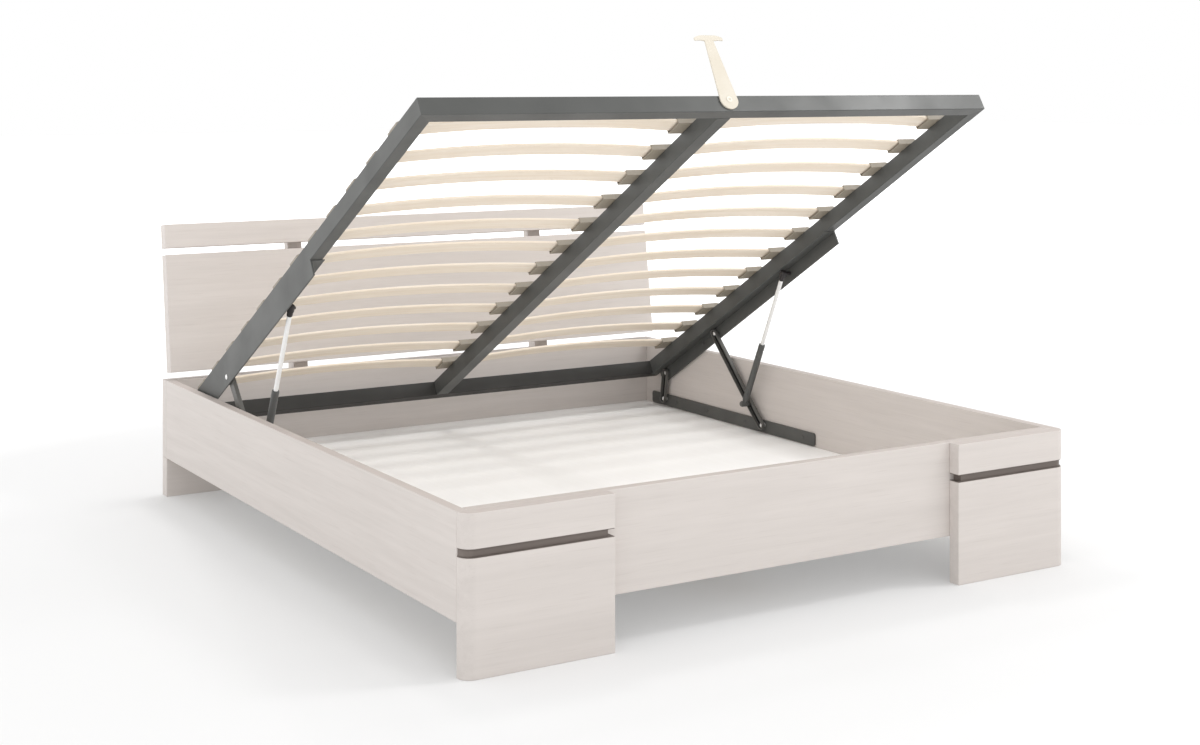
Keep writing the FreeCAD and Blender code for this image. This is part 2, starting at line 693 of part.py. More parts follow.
def make_lift_brackets():
    """Steel angles under the side tubes; the front link's pin runs in a slot of each."""
    start = -v.bracket_start - v.bracket_length
    pins = []
    for name, side in SIDES.items():
        wall_x = outward(side, v.bracket_face, v.bracket_far)
        wall = block("bracket_thickness", "bracket_length", "bracket_drop", wall_x, start, -v.bracket_drop)
        flange = block("bracket_flange", "bracket_length", "bracket_thickness",
                       outward(side, v.bracket_far - v.bracket_flange, v.bracket_far),
                       start, -v.bracket_thickness)
        through = "bracket_thickness + 2 * overrun"
        low_x = outward(side, v.bracket_face - v.overrun, v.bracket_far + v.overrun)
        slot = block(through, "front_pivot_along - front_pin_closed_along", "2 * slot_radius",
                     low_x, -v.front_pivot_along, -v.pivot_drop - v.slot_radius)
        ends = [round_bar("slot_radius", through, low_x, -along, -v.pivot_drop, X_AXIS)
                for along in (v.front_pivot_along, v.front_pin_closed_along)]
        stud_hole = round_bar("pin_hole_radius", through, low_x, -v.strut_head_along, -v.pivot_drop, X_AXIS)
        named(f"lift_bracket_{name}", cut(fuse(wall, flange), slot, *ends, stud_hole), PLATFORM)
        pins.append(pivot_pin(side, -v.rear_pivot_along, -v.pivot_drop, v.bracket_face, "bracket_face"))
    named("bracket_pivot_pins", group(*pins), PLATFORM)


def slat(side, y):
    """One bowed slat, a sector of a wide ring."""
    rise_axis = FreeCAD.Rotation(X_AXIS, QUARTER_TURN)
    start = FreeCAD.Rotation(Z_AXIS, QUARTER_TURN - v.slat_sweep / 2)
    bow_centre = v.slat_seat + v.slat_rise - v.slat_radius
    ring = doc.addObject("Part::Cylinder", "slat_ring")
    bind(ring, Radius="slat_radius + slat_thickness", Height="slat_width", Angle="slat_sweep")
    put(ring, side * slat_middle, y + v.slat_width / 2, bow_centre, rise_axis.multiply(start))
    inside = doc.addObject("Part::Cylinder", "slat_inside")
    bind(inside, Radius="slat_radius", Height="slat_width + 2 * overrun")
    put(inside, side * slat_middle, y + v.slat_width / 2 + v.overrun, bow_centre, rise_axis)
    return cut(ring, inside)


def slat_places():
    return [-v.slat_head_margin - number * v.slat_pitch for number in range(SLAT_COUNT)]


def make_slats():
    for number, y in enumerate(slat_places(), 1):
        pair = group(*[slat(side, y) for side in SIDES.values()])
        named(f"slat_row_{number:02d}", pair, PLATFORM)


def pocket(near, far, y):
    depth = f"{far - near:.9f}"
    return block(depth, "slat_width + 2 * moving_gap", "slat_thickness + holder_pocket_rise",
                 near, y - v.slat_width / 2 - v.moving_gap, v.tube_height + v.holder_wall)


def make_slat_holders():
    """Moulded holders on the tubes; each slat's end sits in a pocket."""
    half = v.platform_width / 2
    mouth = half - v.tube_width - v.holder_overhang
    for name, side in SIDES.items():
        holders = []
        for y in slat_places():
            body = block("tube_width - holder_outset + holder_overhang", "holder_width", "holder_height",
                         outward(side, mouth, half - v.holder_outset), y - v.holder_width / 2, v.tube_height)
            near = outward(side, mouth - v.overrun, mouth + v.holder_pocket_depth)
            far = outward(side, mouth + v.holder_pocket_depth, mouth - v.overrun)
            holders.append(cut(body, pocket(near, far, y)))
        named(f"slat_holders_{name}", group(*holders), PLATFORM)
    reach = v.centre_tube_width / 2 + v.holder_overhang
    depth = reach - v.holder_pocket_depth
    holders = []
    for y in slat_places():
        body = block("centre_tube_width + 2 * holder_overhang", "holder_width", "holder_height",
                     -reach, y - v.holder_width / 2, v.tube_height)
        holders.append(cut(body, pocket(-reach - v.overrun, -depth, y), pocket(depth, reach + v.overrun, y)))
    named("slat_holders_centre", group(*holders), PLATFORM)


def make_pull_handle():
    """A tapered strap with a cross bar, riveted to the foot tube's outer face."""
    back = -v.platform_length - v.moving_gap
    face = back - v.handle_thickness
    x = v.handle_offset
    z = v.handle_rivet_height
    round_end = round_bar("handle_foot_radius", "handle_thickness", x, face, z, Y_AXIS)
    strap = doc.addObject("Part::Wedge", "strap")
    bind(strap, Xmin="-handle_foot_radius", Xmax="handle_foot_radius", X2min="-handle_neck_width / 2",
         X2max="handle_neck_width / 2", Ymin="0 * overrun", Ymax="handle_reach - handle_bar_height / 2",
         Zmin="0 * overrun", Zmax="handle_thickness", Z2min="0 * overrun", Z2max="handle_thickness")
    put(strap, x, back, z, FreeCAD.Rotation(X_AXIS, QUARTER_TURN))
    bar_half = v.handle_bar_length / 2 - v.handle_bar_height / 2
    bar = block("handle_bar_length - handle_bar_height", "handle_thickness", "handle_bar_height",
                x - bar_half, face, z + v.handle_reach - v.handle_bar_height / 2)
    tips = [round_bar("handle_bar_height / 2", "handle_thickness", x + end, face, z + v.handle_reach, Y_AXIS)
            for end in (-bar_half, bar_half)]
    hole = round_bar("rivet_radius + pin_clearance", "handle_thickness + 2 * overrun",
                     x, face - v.overrun, z, Y_AXIS)
    named("pull_handle", cut(fuse(round_end, strap, bar, *tips), hole), PLATFORM)
    shank = round_bar("rivet_radius", "handle_thickness + 2 * moving_gap", x, face - v.moving_gap, z, Y_AXIS)
    head_y = face - v.moving_gap - v.rivet_head_height
    head = round_bar("rivet_head_radius", "rivet_head_height", x, head_y, z, Y_AXIS)
    named("pull_handle_rivet", fuse(shank, head), PLATFORM)


def check_and_write():
    doc.recompute()
    for piece in doc.Objects:
        if "Invalid" in piece.State or "Error" in piece.State:
            raise RuntimeError(f"{piece.Label} failed: {piece.State}")
    for label, piece in subparts.items():
        if piece.Shape.isNull() or not piece.Shape.isValid() or piece.Shape.Volume <= 0:
            raise RuntimeError(f"{label} has no valid solid")
    os.makedirs("parts", exist_ok=True)
    for label, piece in subparts.items():
        piece.Shape.exportStep(f"parts/{label}.step")


def print_lift():
    """Say where the lift's pivots are and how far each turns when the bed closes."""
    for name, point in (("rear_base", rear_base), ("rear_top", rear_top), ("front_base", front_base),
                        ("front_top", front_top), ("strut_base", strut_base), ("strut_top", strut_top)):
        print(name, round(front + point[0], 3), round(point[1], 3))
    print("rear link turns", round(rear_angle_closed - rear_angle, 4))
    print("front link turns", round(front_angle_closed - front_angle, 4))
    print("strut turns", round(strut_angle_closed - strut_angle, 4), "stroke", round(v.strut_stroke, 3))


make_box()
make_foot_legs()
make_headboard()
make_uprights()
make_storage_floor()
make_base_rails()
make_base_pins()
make_rear_links()
make_front_links()
make_slide_pins()
make_struts()
make_platform_frame()
make_lift_brackets()
make_slats()
make_slat_holders()
make_pull_handle()
check_and_write()
print_lift()
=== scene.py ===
import json
import math

import bpy
from mathutils import Matrix, Vector


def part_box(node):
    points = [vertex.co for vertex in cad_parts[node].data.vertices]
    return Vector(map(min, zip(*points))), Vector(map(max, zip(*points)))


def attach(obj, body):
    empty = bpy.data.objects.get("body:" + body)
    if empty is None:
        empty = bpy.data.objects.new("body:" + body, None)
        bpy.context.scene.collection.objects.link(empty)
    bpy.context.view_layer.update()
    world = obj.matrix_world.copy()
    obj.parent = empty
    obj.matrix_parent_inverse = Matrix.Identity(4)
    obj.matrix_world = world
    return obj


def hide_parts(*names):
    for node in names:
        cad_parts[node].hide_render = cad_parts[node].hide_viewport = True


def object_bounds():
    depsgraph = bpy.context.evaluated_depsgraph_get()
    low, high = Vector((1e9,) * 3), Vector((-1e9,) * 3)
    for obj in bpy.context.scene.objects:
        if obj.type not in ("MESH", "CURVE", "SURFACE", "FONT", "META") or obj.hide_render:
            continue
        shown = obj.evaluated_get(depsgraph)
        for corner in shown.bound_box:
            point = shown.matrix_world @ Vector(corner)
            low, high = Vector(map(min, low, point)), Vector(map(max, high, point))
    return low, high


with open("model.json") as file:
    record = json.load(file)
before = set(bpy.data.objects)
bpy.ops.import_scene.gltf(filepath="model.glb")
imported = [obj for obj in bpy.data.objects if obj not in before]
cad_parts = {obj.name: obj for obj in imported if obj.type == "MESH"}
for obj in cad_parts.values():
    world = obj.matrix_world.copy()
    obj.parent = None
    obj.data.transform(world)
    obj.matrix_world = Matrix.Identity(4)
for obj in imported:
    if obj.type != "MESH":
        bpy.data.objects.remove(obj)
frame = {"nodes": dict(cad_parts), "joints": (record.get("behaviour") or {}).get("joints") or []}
cad_low, cad_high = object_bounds()

# Sizes in metres that the solids don't carry
SEAM = 0.00001
TOUCH = 0.0001
# the share of a direction that has to lie along an axis
STRAIGHT = 0.9
ROUND_CORNERS = 46
TUBE_ROUNDING = 0.002
SLAT_THICKNESS = 0.008
SLAT_EDGE = 0.0025
SLAT_STEPS = 28
SLAT_LAYERS = 5.0
HOLDER_WALL = 0.0025
HOLDER_ROUNDING = 0.001
HOLDER_REACH = 0.016
HOLDER_MOUTH_DEPTH = 0.05
HOLDER_TAIL = 0.008
HOLDER_TAIL_HEIGHT = 0.0135
LINK_WIDTH = 0.028
LINK_DEPTH = 0.012
LINK_WALL = 0.003
LINK_EDGE = 0.0009
LINK_BEAD_WIDTH = 0.008
LINK_BEAD_DEPTH = 0.0018
STRUT_EYE_RADIUS = 0.010
STRUT_TUBE_RADIUS = 0.011
STRUT_ROD_RADIUS = 0.0068
STRUT_ROD_STOP = 0.009
STRUT_END_RADIUS = 0.0105
STRUT_STUD_RADIUS = 0.005
# each end's turned shape: distances from the end or pivot, and shares of the radius
STRUT_TUBE_FOOT = ((0.006, 0.8), (0.014, 0.94), (0.018, 1.0))
STRUT_TUBE_CAP = ((-0.030, 1.0), (-0.028, 0.93), (-0.024, 0.93), (-0.022, 1.0), (-0.004, 1.0), (-0.001, 0.88),
                  (0.0, 0.7))
STRUT_END_SHAPE = ((-0.026, 0.72), (-0.024, 0.8), (-0.014, 0.84), (-0.010, 1.0), (0.007, 1.0), (0.009, 0.8))
# a bar's rim and the share of its radius that is left at the end face
STRUT_EYE_RIM = (0.0015, 0.86)
STRUT_BAR_RIM = (0.001, 0.9)
PIN_RADIUS = 0.005
PIN_COLLAR_RADIUS = 0.008
PIN_HEAD_RADIUS = 0.0078
PIN_HEAD_HEIGHT = 0.0054
# a domed head from its seat to its top: shares of its height and of its radius
PIN_HEAD_SHAPE = ((0.0, 0.94), (0.12, 1.0), (0.45, 0.95), (0.72, 0.76), (0.9, 0.48), (1.0, 0.16))
PIN_SEAT_DEPTH = 0.006
RIVET_ROOT_SHARE = 0.9
RIVET_RISE_SHARE = 0.6
BOLT_HEAD_HEIGHT = 0.003
BOLT_EDGE = 0.0008
BOLT_EDGE_SHARE = 0.85
MOVING_GAP = 0.0004
BRACKET_WALL = 0.003
BRACKET_GROOVE = 0.0032
BRACKET_EDGE = 0.0006
WELD_RISE = 0.0026
WELD_WIDTH = 0.0022
WELD_SET_BACK = 0.0001
RAIL_CORNER = 0.009
RAIL_WALL = 0.003
RAIL_EDGE = 0.0008
# thickness of the dark sheets on the legs' groove floor and roof, which are painted shade
GROOVE_SHADE_SHEET = 0.001
GROOVE_SET_BACK = 0.0015
GROOVE_DEPTH = 0.007
GROOVE_SIDE_DEPTH = 0.002
GROOVE_EDGE = 0.0002
LEG_CORNER = 0.033
HANDLE_NECK = 0.026
HANDLE_NECK_FLATTENING = 0.02
HANDLE_EDGE = 0.0013
HANDLE_STEP = 0.0004
HANDLE_BAR_HEIGHT = 0.017
HANDLE_BAR_TAPER = 0.94
# how far out along the grip, how far its top droops there, and its height there
HANDLE_BAR_STEPS = ((0.0, 0.0, 0.017), (0.3, 0.0, 0.016), (0.6, 0.002, 0.013), (0.85, 0.005, 0.011),
                    (1.0, 0.008, 0.008))
EYELET_SHANK = 0.0058
# the eyelet's rolled rim and hollow: heights over the strap and radii
EYELET_STATIONS = ((0.0, 0.0082), (0.0008, 0.0086), (0.0016, 0.0076), (0.0018, 0.0054), (0.0012, 0.004),
                   (-0.0025, 0.0036), (-0.0026, 0.0006))

# Light and camera
FLOOR_SIZE = 80
FLOOR_GLOW = (0.14, 1.0)
FLOOR_GLOW_REACH = (2.2, 6.0)
HORIZON_LIGHT = 1.15
ZENITH_LIGHT = 1.05
LENS_LENGTH = 53.634
LENS_SHIFT = -0.2416
CAMERA_SIDE = -2.7376
CAMERA_BEFORE_FOOT = 3.5300
CAMERA_HEIGHT = 1.3279
CAMERA_TURN = math.radians(-31.479)

SIDES = {"left": -1, "right": 1}
ROWS = range(1, 13)
ACROSS = Vector((1, 0, 0))
QUARTER = math.pi / 2
nodes = frame["nodes"]
joints = {joint["name"]: joint for joint in frame["joints"]}


# The tilted platform's own frame: X across, Y towards the headboard, Z out of its upper side

foot_wards = Vector(joints["slide_pin_left_run"]["axis"]).normalized()
off_platform = foot_wards.cross(ACROSS)
tilt = math.asin(foot_wards.z)


def head_corner():
    """The lower outer edge of the head tube, from that tube's box and the tilt."""
    low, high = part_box("frame_tube_head")
    span = high - low
    tube_height = (span.z * math.cos(tilt) - span.y * math.sin(tilt)) / math.cos(2 * tilt)
    return Vector((0, high.y - tube_height * math.sin(tilt), low.z))


def placed(across, along, up, origin):
    turn = Matrix((across, along, up)).transposed().to_4x4()
    return Matrix.Translation(origin) @ turn


PLATFORM = placed(ACROSS, -foot_wards, off_platform, head_corner())


def points_in(node, place):
    back = place.inverted()
    return [back @ vertex.co for vertex in nodes[node].data.vertices]


def box_in(node, place):
    points = points_in(node, place)
    low = Vector([min(point[i] for point in points) for i in range(3)])
    high = Vector([max(point[i] for point in points) for i in range(3)])
    return low, high


# Modelling by hand

def clear_selection():
    if bpy.context.object and bpy.context.object.mode != "OBJECT":
        bpy.ops.object.mode_set(mode="OBJECT")
    bpy.ops.object.select_all(action="DESELECT")


def hold(piece):
    clear_selection()
    piece.select_set(True)
    bpy.context.view_layer.objects.active = piece


def box_piece(name, low, high):
    clear_selection()
    middle = (low + high) / 2
    bpy.ops.mesh.primitive_cube_add(size=1, location=middle, scale=high - low)
    piece = bpy.context.object
    piece.name = name
    bpy.ops.object.transform_apply(location=True, rotation=True, scale=True)
    return piece


def disc_piece(name, radius, corners=32):
    clear_selection()
    bpy.ops.mesh.primitive_circle_add(vertices=corners, radius=radius, fill_type="NGON", location=(0, 0, 0))
    piece = bpy.context.object
    piece.name = name
    return piece


def pick(piece, kind, test):
    """Opens the piece for editing with the vertices, edges or faces that pass the test picked."""
    hold(piece)
    bpy.ops.object.mode_set(mode="EDIT")
    bpy.ops.mesh.select_mode(type=kind)
    bpy.ops.mesh.select_all(action="DESELECT")
    bpy.ops.object.mode_set(mode="OBJECT")
    mesh = piece.data
    if kind == "VERT":
        for vertex in mesh.vertices:
            vertex.select = test(vertex.co)
    elif kind == "EDGE":
        for edge in mesh.edges:
            edge.select = test(*[mesh.vertices[index].co for index in edge.vertices])
    else:
        for face in mesh.polygons:
            face.select = test(face.center, face.normal)
    bpy.ops.object.mode_set(mode="EDIT")


def pick_all(piece):
    hold(piece)
    bpy.ops.object.mode_set(mode="EDIT")
    bpy.ops.mesh.select_all(action="SELECT")


def close_edit():
    bpy.ops.object.mode_set(mode="OBJECT")


def tidy_faces(piece):
    """Closes seams and turns all faces outwards."""
    pick_all(piece)
    bpy.ops.mesh.remove_doubles(threshold=SEAM)
    bpy.ops.mesh.normals_make_consistent(inside=False)
    close_edit()


def smooth(piece, angle=40):
    """Smooth shading up to an angle, with the large faces beside rounded edges kept flat."""
    hold(piece)
    bpy.ops.object.shade_smooth_by_angle(angle=math.radians(angle))
    modifier = piece.modifiers.new("flat_faces", "WEIGHTED_NORMAL")
    modifier.keep_sharp = True
    bpy.ops.object.modifier_apply(modifier=modifier.name)


def set_down(piece, place):
    """Moves a piece to its place and keeps the place in its mesh."""
    hold(piece)
    piece.matrix_world = place @ piece.matrix_world
    bpy.ops.object.transform_apply(location=True, rotation=True, scale=True)


def copy_of(piece, name):
    hold(piece)
    bpy.ops.object.duplicate(linked=False)
    twin = bpy.context.object
    twin.name = name
    return twin


def join(name, pieces):
    hold(pieces[0])
    for piece in pieces[1:]:
        piece.select_set(True)
    if len(pieces) > 1:
        bpy.ops.object.join()
    whole = bpy.context.object
    whole.name = name
    return whole


def bevel_edges(piece, width, segments, angle=40, clamp=True):
    modifier = piece.modifiers.new("edges", "BEVEL")
    modifier.width = width
    modifier.segments = segments
    modifier.limit_method = "ANGLE"
    modifier.angle_limit = math.radians(angle)
    modifier.use_clamp_overlap = clamp
    hold(piece)
    bpy.ops.object.modifier_apply(modifier=modifier.name)


def turned(name, stations, corners=32):
    """A round piece along Z, drawn out from a disc station by station: (height, radius)."""
    height, radius = stations[0]
    piece = disc_piece(name, radius, corners)
    hold(piece)
    piece.location.z = height
    bpy.ops.object.transform_apply(location=True, rotation=True, scale=True)
    bpy.ops.object.mode_set(mode="EDIT")
    bpy.ops.mesh.select_mode(type="FACE")
    bpy.ops.mesh.select_all(action="SELECT")
    for next_height, next_radius in stations[1:]:
        rise = (0, 0, next_height - height)
        bpy.ops.mesh.extrude_region_move(TRANSFORM_OT_translate={"value": rise})
        share = next_radius / radius
        bpy.ops.transform.resize(value=(share, share, 1), center_override=(0, 0, next_height))
        height, radius = next_height, next_radius
    close_edit()
    tidy_faces(piece)
    smooth(piece, 35)
    return piece


# Materials

def linear(code):
    """A colour in hexadecimal, as the shader takes it."""
    parts = [int(code[i:i + 2], 16) / 255 for i in (0, 2, 4)]
    return [part / 12.92 if part <= 0.04045 else ((part + 0.055) / 1.055) ** 2.4 for part in parts] + [1]


def add_node(tree, kind, links=None, **values):
    """A node with its inputs set to values or linked to other nodes' outputs."""
    node = tree.nodes.new(kind)
    for key, value in values.items():
        setattr(node, key, value)
    for key, value in (links or {}).items():
        if isinstance(value, bpy.types.NodeSocket):
            tree.links.new(value, node.inputs[key])
        else:
            node.inputs[key].default_value = value
    return node


def noise(tree, vector, scale, detail=3.0, roughness=0.5, distortion=0.0):
    inputs = {"Vector": vector, "Scale": scale, "Detail": detail, "Roughness": roughness,
              "Distortion": distortion}
    return add_node(tree, "ShaderNodeTexNoise", inputs).outputs["Fac"]


def stretched(tree, vector, scale):
    return add_node(tree, "ShaderNodeMapping", {"Vector": vector, "Scale": scale}).outputs["Vector"]


def sum_of(tree, *parts):
    """A weighted sum of values: (value, weight) pairs."""
    total = None
    for value, weight in parts:
        part = add_node(tree, "ShaderNodeMath", {0: value, 1: weight}, operation="MULTIPLY").outputs[0]
        if total is None:
            total = part
        else:
            total = add_node(tree, "ShaderNodeMath", {0: total, 1: part}, operation="ADD").outputs[0]
    return total


def spread(tree, value, low, high, new_low=0.0, new_high=1.0):
    inputs = {"Value": value, "From Min": low, "From Max": high, "To Min": new_low, "To Max": new_high}
    return add_node(tree, "ShaderNodeMapRange", inputs, clamp=True).outputs["Result"]


def blend(tree, share, first, second):
    node = add_node(tree, "ShaderNodeMix", data_type="RGBA")
    sockets = (node.inputs["Factor"], node.inputs[6], node.inputs[7])
    for socket, value in zip(sockets, (share, first, second)):
        if isinstance(value, bpy.types.NodeSocket):
            tree.links.new(value, socket)
        else:
            socket.default_value = value
    return node.outputs[2]


def effect(name, inputs, outputs):
    """An empty shader group with named sockets."""
    tree = bpy.data.node_groups.new(name, "ShaderNodeTree")
    for label, kind in inputs:
        tree.interface.new_socket(label, in_out="INPUT", socket_type=kind)
    for label in outputs:
        tree.interface.new_socket(label, in_out="OUTPUT", socket_type="NodeSocketFloat")
    return tree, tree.nodes.new("NodeGroupInput"), tree.nodes.new("NodeGroupOutput")


def make_wood_grain():
    """Grain that runs along X: broad figure, streaks and short pores."""
    tree, given, out = effect("wood_grain", [("Vector", "NodeSocketVector")], ["Figure", "Streak", "Pore"])
    vector = given.outputs["Vector"]
    broad = noise(tree, stretched(tree, vector, (1.1, 13, 13)), scale=1.0, detail=5.0, roughness=0.55,
                  distortion=0.9)
    middle = noise(tree, stretched(tree, vector, (2.5, 70, 70)), scale=1.0, distortion=0.3)
    fine = noise(tree, stretched(tree, vector, (9, 330, 330)), scale=1.0, detail=2.0)
    tree.links.new(spread(tree, broad, 0.3, 0.7), out.inputs["Figure"])
    tree.links.new(spread(tree, middle, 0.32, 0.68), out.inputs["Streak"])
    tree.links.new(spread(tree, fine, 0.58, 0.78), out.inputs["Pore"])
    return tree


def make_coat_peel():
    """Fine orange peel and faint broad unevenness of a sprayed coat."""
    tree, given, out = effect("coat_peel", [("Vector", "NodeSocketVector")], ["Peel", "Cloud"])
    vector = given.outputs["Vector"]
    peel = noise(tree, vector, scale=900.0, detail=2.0)
    cloud = noise(tree, vector, scale=7.0)
    tree.links.new(peel, out.inputs["Peel"])
    tree.links.new(spread(tree, cloud, 0.3, 0.7), out.inputs["Cloud"])
    return tree


WOOD_GRAIN = make_wood_grain()
COAT_PEEL = make_coat_peel()


def new_material(name, roughness, metallic=0.0, specular=0.5):
    material = bpy.data.materials.new(name)
    material.use_nodes = True
    tree = material.node_tree
    shader = tree.nodes["Principled BSDF"]
    shader.inputs["Roughness"].default_value = roughness
    shader.inputs["Metallic"].default_value = metallic
    shader.inputs["Specular IOR Level"].default_value = specular
    place = tree.nodes.new("ShaderNodeTexCoord").outputs["Object"]
    return material, tree, shader, place


def group_node(tree, group, vector):
    node = tree.nodes.new("ShaderNodeGroup")
    node.node_tree = group
    tree.links.new(vector, node.inputs["Vector"])
    return node


def bump(tree, shader, height, distance, strength=1.0):
    node = add_node(tree, "ShaderNodeBump", {"Height": height, "Distance": distance, "Strength": strength})
    tree.links.new(node.outputs["Normal"], shader.inputs["Normal"])


def wood(name, pale, dark, pore_and_shade_colour, turn=(0, 0, 0), pore_share=0.3, roughness=0.55, painted_top_shade=0.0):
    """Wood with its grain along X, or along another axis after the turn; faces that look up may get painted
    shade.
    """
    material, tree, shader, place = new_material(name, roughness, specular=0.35)
    turned_place = add_node(tree, "ShaderNodeMapping", {"Vector": place, "Rotation": turn})
    grain = group_node(tree, WOOD_GRAIN, turned_place.outputs["Vector"])
    tone = sum_of(tree, (grain.outputs["Figure"], 0.55), (grain.outputs["Streak"], 0.45))
    colour = blend(tree, tone, linear(pale), linear(dark))
    pores = sum_of(tree, (grain.outputs["Pore"], pore_share))
    colour = blend(tree, pores, colour, linear(pore_and_shade_colour))
    if painted_top_shade:
        # painted shade: faces that look up blend towards the pore colour
        normal = tree.nodes.new("ShaderNodeNewGeometry").outputs["Normal"]
        upward = add_node(tree, "ShaderNodeSeparateXYZ", {0: normal}).outputs["Z"]
        colour = blend(tree, spread(tree, upward, 0.75, 0.95, 0.0, painted_top_shade), colour, linear(pore_and_shade_colour))
    tree.links.new(colour, shader.inputs["Base Color"])
    rough = spread(tree, tone, 0.0, 1.0, roughness - 0.06, roughness + 0.06)
    tree.links.new(rough, shader.inputs["Roughness"])
    relief = sum_of(tree, (grain.outputs["Streak"], 0.6), (grain.outputs["Pore"], -0.7))
    bump(tree, shader, relief, 0.00025, 0.5)
    return material


def coated(name, colour, cloudy, roughness, specular=0.36, peel=0.00004):
    """Steel under a sprayed coat."""
    material, tree, shader, place = new_material(name, roughness, specular=specular)
    coat = group_node(tree, COAT_PEEL, place)
    mixed = blend(tree, coat.outputs["Cloud"], linear(colour), linear(cloudy))
    tree.links.new(mixed, shader.inputs["Base Color"])
    rough = spread(tree, coat.outputs["Cloud"], 0.0, 1.0, roughness - 0.04, roughness + 0.05)
    tree.links.new(rough, shader.inputs["Roughness"])
    bump(tree, shader, coat.outputs["Peel"], peel, 0.6)
    return material


def bare_metal(name, colour, roughness, metallic, smears):
    """Uncoated metal with faint smears."""
    material, tree, shader, place = new_material(name, roughness, metallic)
    smear = noise(tree, stretched(tree, place, (40, 40, 40)), scale=4.0)
    mixed = blend(tree, spread(tree, smear, 0.35, 0.7, 0.0, smears), linear(colour), linear("8E8E8C"))
    tree.links.new(mixed, shader.inputs["Base Color"])
    rough = spread(tree, smear, 0.3, 0.7, roughness * (1 - smears / 2), roughness * (1 + smears))
    tree.links.new(rough, shader.inputs["Roughness"])
    return material


def plastic(name, colour, shade, roughness, speckle):
    """A moulding with a fine speckle of the size given."""
    material, tree, shader, place = new_material(name, roughness, specular=0.45)
    grit = noise(tree, place, scale=speckle, detail=2.0)
    cloud = noise(tree, place, scale=18.0, detail=2.0)
    share = sum_of(tree, (spread(tree, grit, 0.45, 0.75), 0.5), (spread(tree, cloud, 0.35, 0.65), 0.5))
    tree.links.new(blend(tree, share, linear(colour), linear(shade)), shader.inputs["Base Color"])
    bump(tree, shader, grit, 0.00008, 0.5)
    return material


def make_slat_wood():
    """Bent birch plywood; the edges show the glued layers through the ply attribute."""
    material, tree, shader, place = new_material("slat_birch", 0.42, specular=0.45)
    grain = group_node(tree, WOOD_GRAIN, place)
    face = blend(tree, sum_of(tree, (grain.outputs["Streak"], 0.6)), linear("EDE2D3"), linear("E2D2BC"))
    face = blend(tree, sum_of(tree, (grain.outputs["Pore"], 0.25)), face, linear("CDB491"))
    ply = add_node(tree, "ShaderNodeAttribute", attribute_name="ply").outputs["Fac"]
    layers = add_node(tree, "ShaderNodeMath", {0: ply, 1: SLAT_LAYERS}, operation="MULTIPLY").outputs[0]
    layers = add_node(tree, "ShaderNodeMath", {0: layers, 1: 1.0}, operation="PINGPONG").outputs[0]
    edge = spread(tree, layers, 0.72, 0.9, 0.0, 0.45)
    inside = add_node(tree, "ShaderNodeMath", {0: ply, 1: 1.0}, operation="PINGPONG").outputs[0]
    inside = spread(tree, inside, 0.02, 0.06)
    lines = add_node(tree, "ShaderNodeMath", {0: edge, 1: inside}, operation="MULTIPLY").outputs[0]
    tree.links.new(blend(tree, lines, face, linear("B99A72")), shader.inputs["Base Color"])
    bump(tree, shader, grain.outputs["Streak"], 0.0001, 0.4)
    return material


WASHED = ("D7D0CB", "CEC7C2", "BBB1AB")
FINISHES = {
    # the upward faces of these boards get painted shade
    "washed_across": wood("washed_wood_across", *WASHED, painted_top_shade=0.85),
    "washed_along": wood("washed_wood_along", *WASHED, turn=(0, 0, QUARTER), painted_top_shade=0.85),
    "washed_upright": wood("washed_wood_upright", *WASHED, turn=(0, QUARTER, 0)),
    "plain": wood("plain_wood", "DFD3C3", "D2C3AE", "B9A68B", turn=(0, 0, QUARTER)),
    # dark wood for the legs' grooves: painted shade in the recess
    "groove": wood("groove_edging", "7A706A", "6B625C", "554D48", pore_share=0.25),
    "floor": wood("white_floor_board", "FDFCFB", "F8F7F5", "EFECE9", turn=(0, 0, QUARTER), pore_share=0.15,
                  roughness=0.5),
    "steel": coated("grey_coat", "555654", "4D4E4C", roughness=0.46),
    "smooth_steel": coated("smooth_grey_coat", "515250", "494A48", roughness=0.37, specular=0.42),
    # a darker copy of the tube coat for the head tube: painted shade
    "head_steel_painted_shade": coated("shaded_grey_coat", "3C3B39", "363533", roughness=0.5, specular=0.22),
    "dark_steel": coated("dark_grey_coat", "646360", "5A5956", roughness=0.42),
    "rail_steel": coated("rail_coat", "5A5A57", "525250", roughness=0.48),
    "eyelet": plastic("pale_eyelet", "EDE8DC", "DDD6C8", roughness=0.4, speckle=1400.0),
    # near-black coat for the bead in the links' channels: painted shade
    "channel_painted_shade": coated("shaded_coat", "1C1B1A", "161514", roughness=0.5),
    "strut": coated("strut_coat", "5A5B59", "505150", roughness=0.36),
    "bright": bare_metal("bright_zinc", "F6F6F4", roughness=0.25, metallic=0.4, smears=0.1),
    "chrome": bare_metal("polished_rod", "EEEEED", roughness=0.4, metallic=0.2, smears=0.05),
    "black": plastic("black_moulding", "2A2526", "1E1B1C", roughness=0.45, speckle=700.0),
    "slat": make_slat_wood(),
    "holder": plastic("holder_moulding", "A0978A", "918878", roughness=0.5, speckle=900.0),
    "handle": plastic("cream_strap", "DBD4C6", "D2C9B8", roughness=0.55, speckle=1400.0),
}


def dress(piece, finish, body):
    piece.data.materials.clear()
    piece.data.materials.append(FINISHES[finish])
    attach(piece, body)


def finish_nodes(finish, *names):
    """Gives solids that stay as they are their finish."""
    for name in names:
        piece = nodes[name]
        piece.data.materials.clear()
        piece.data.materials.append(FINISHES[finish])


# Boards and other solids that keep their shape

def both(name):
    return [f"{name}_{side}" for side in SIDES]


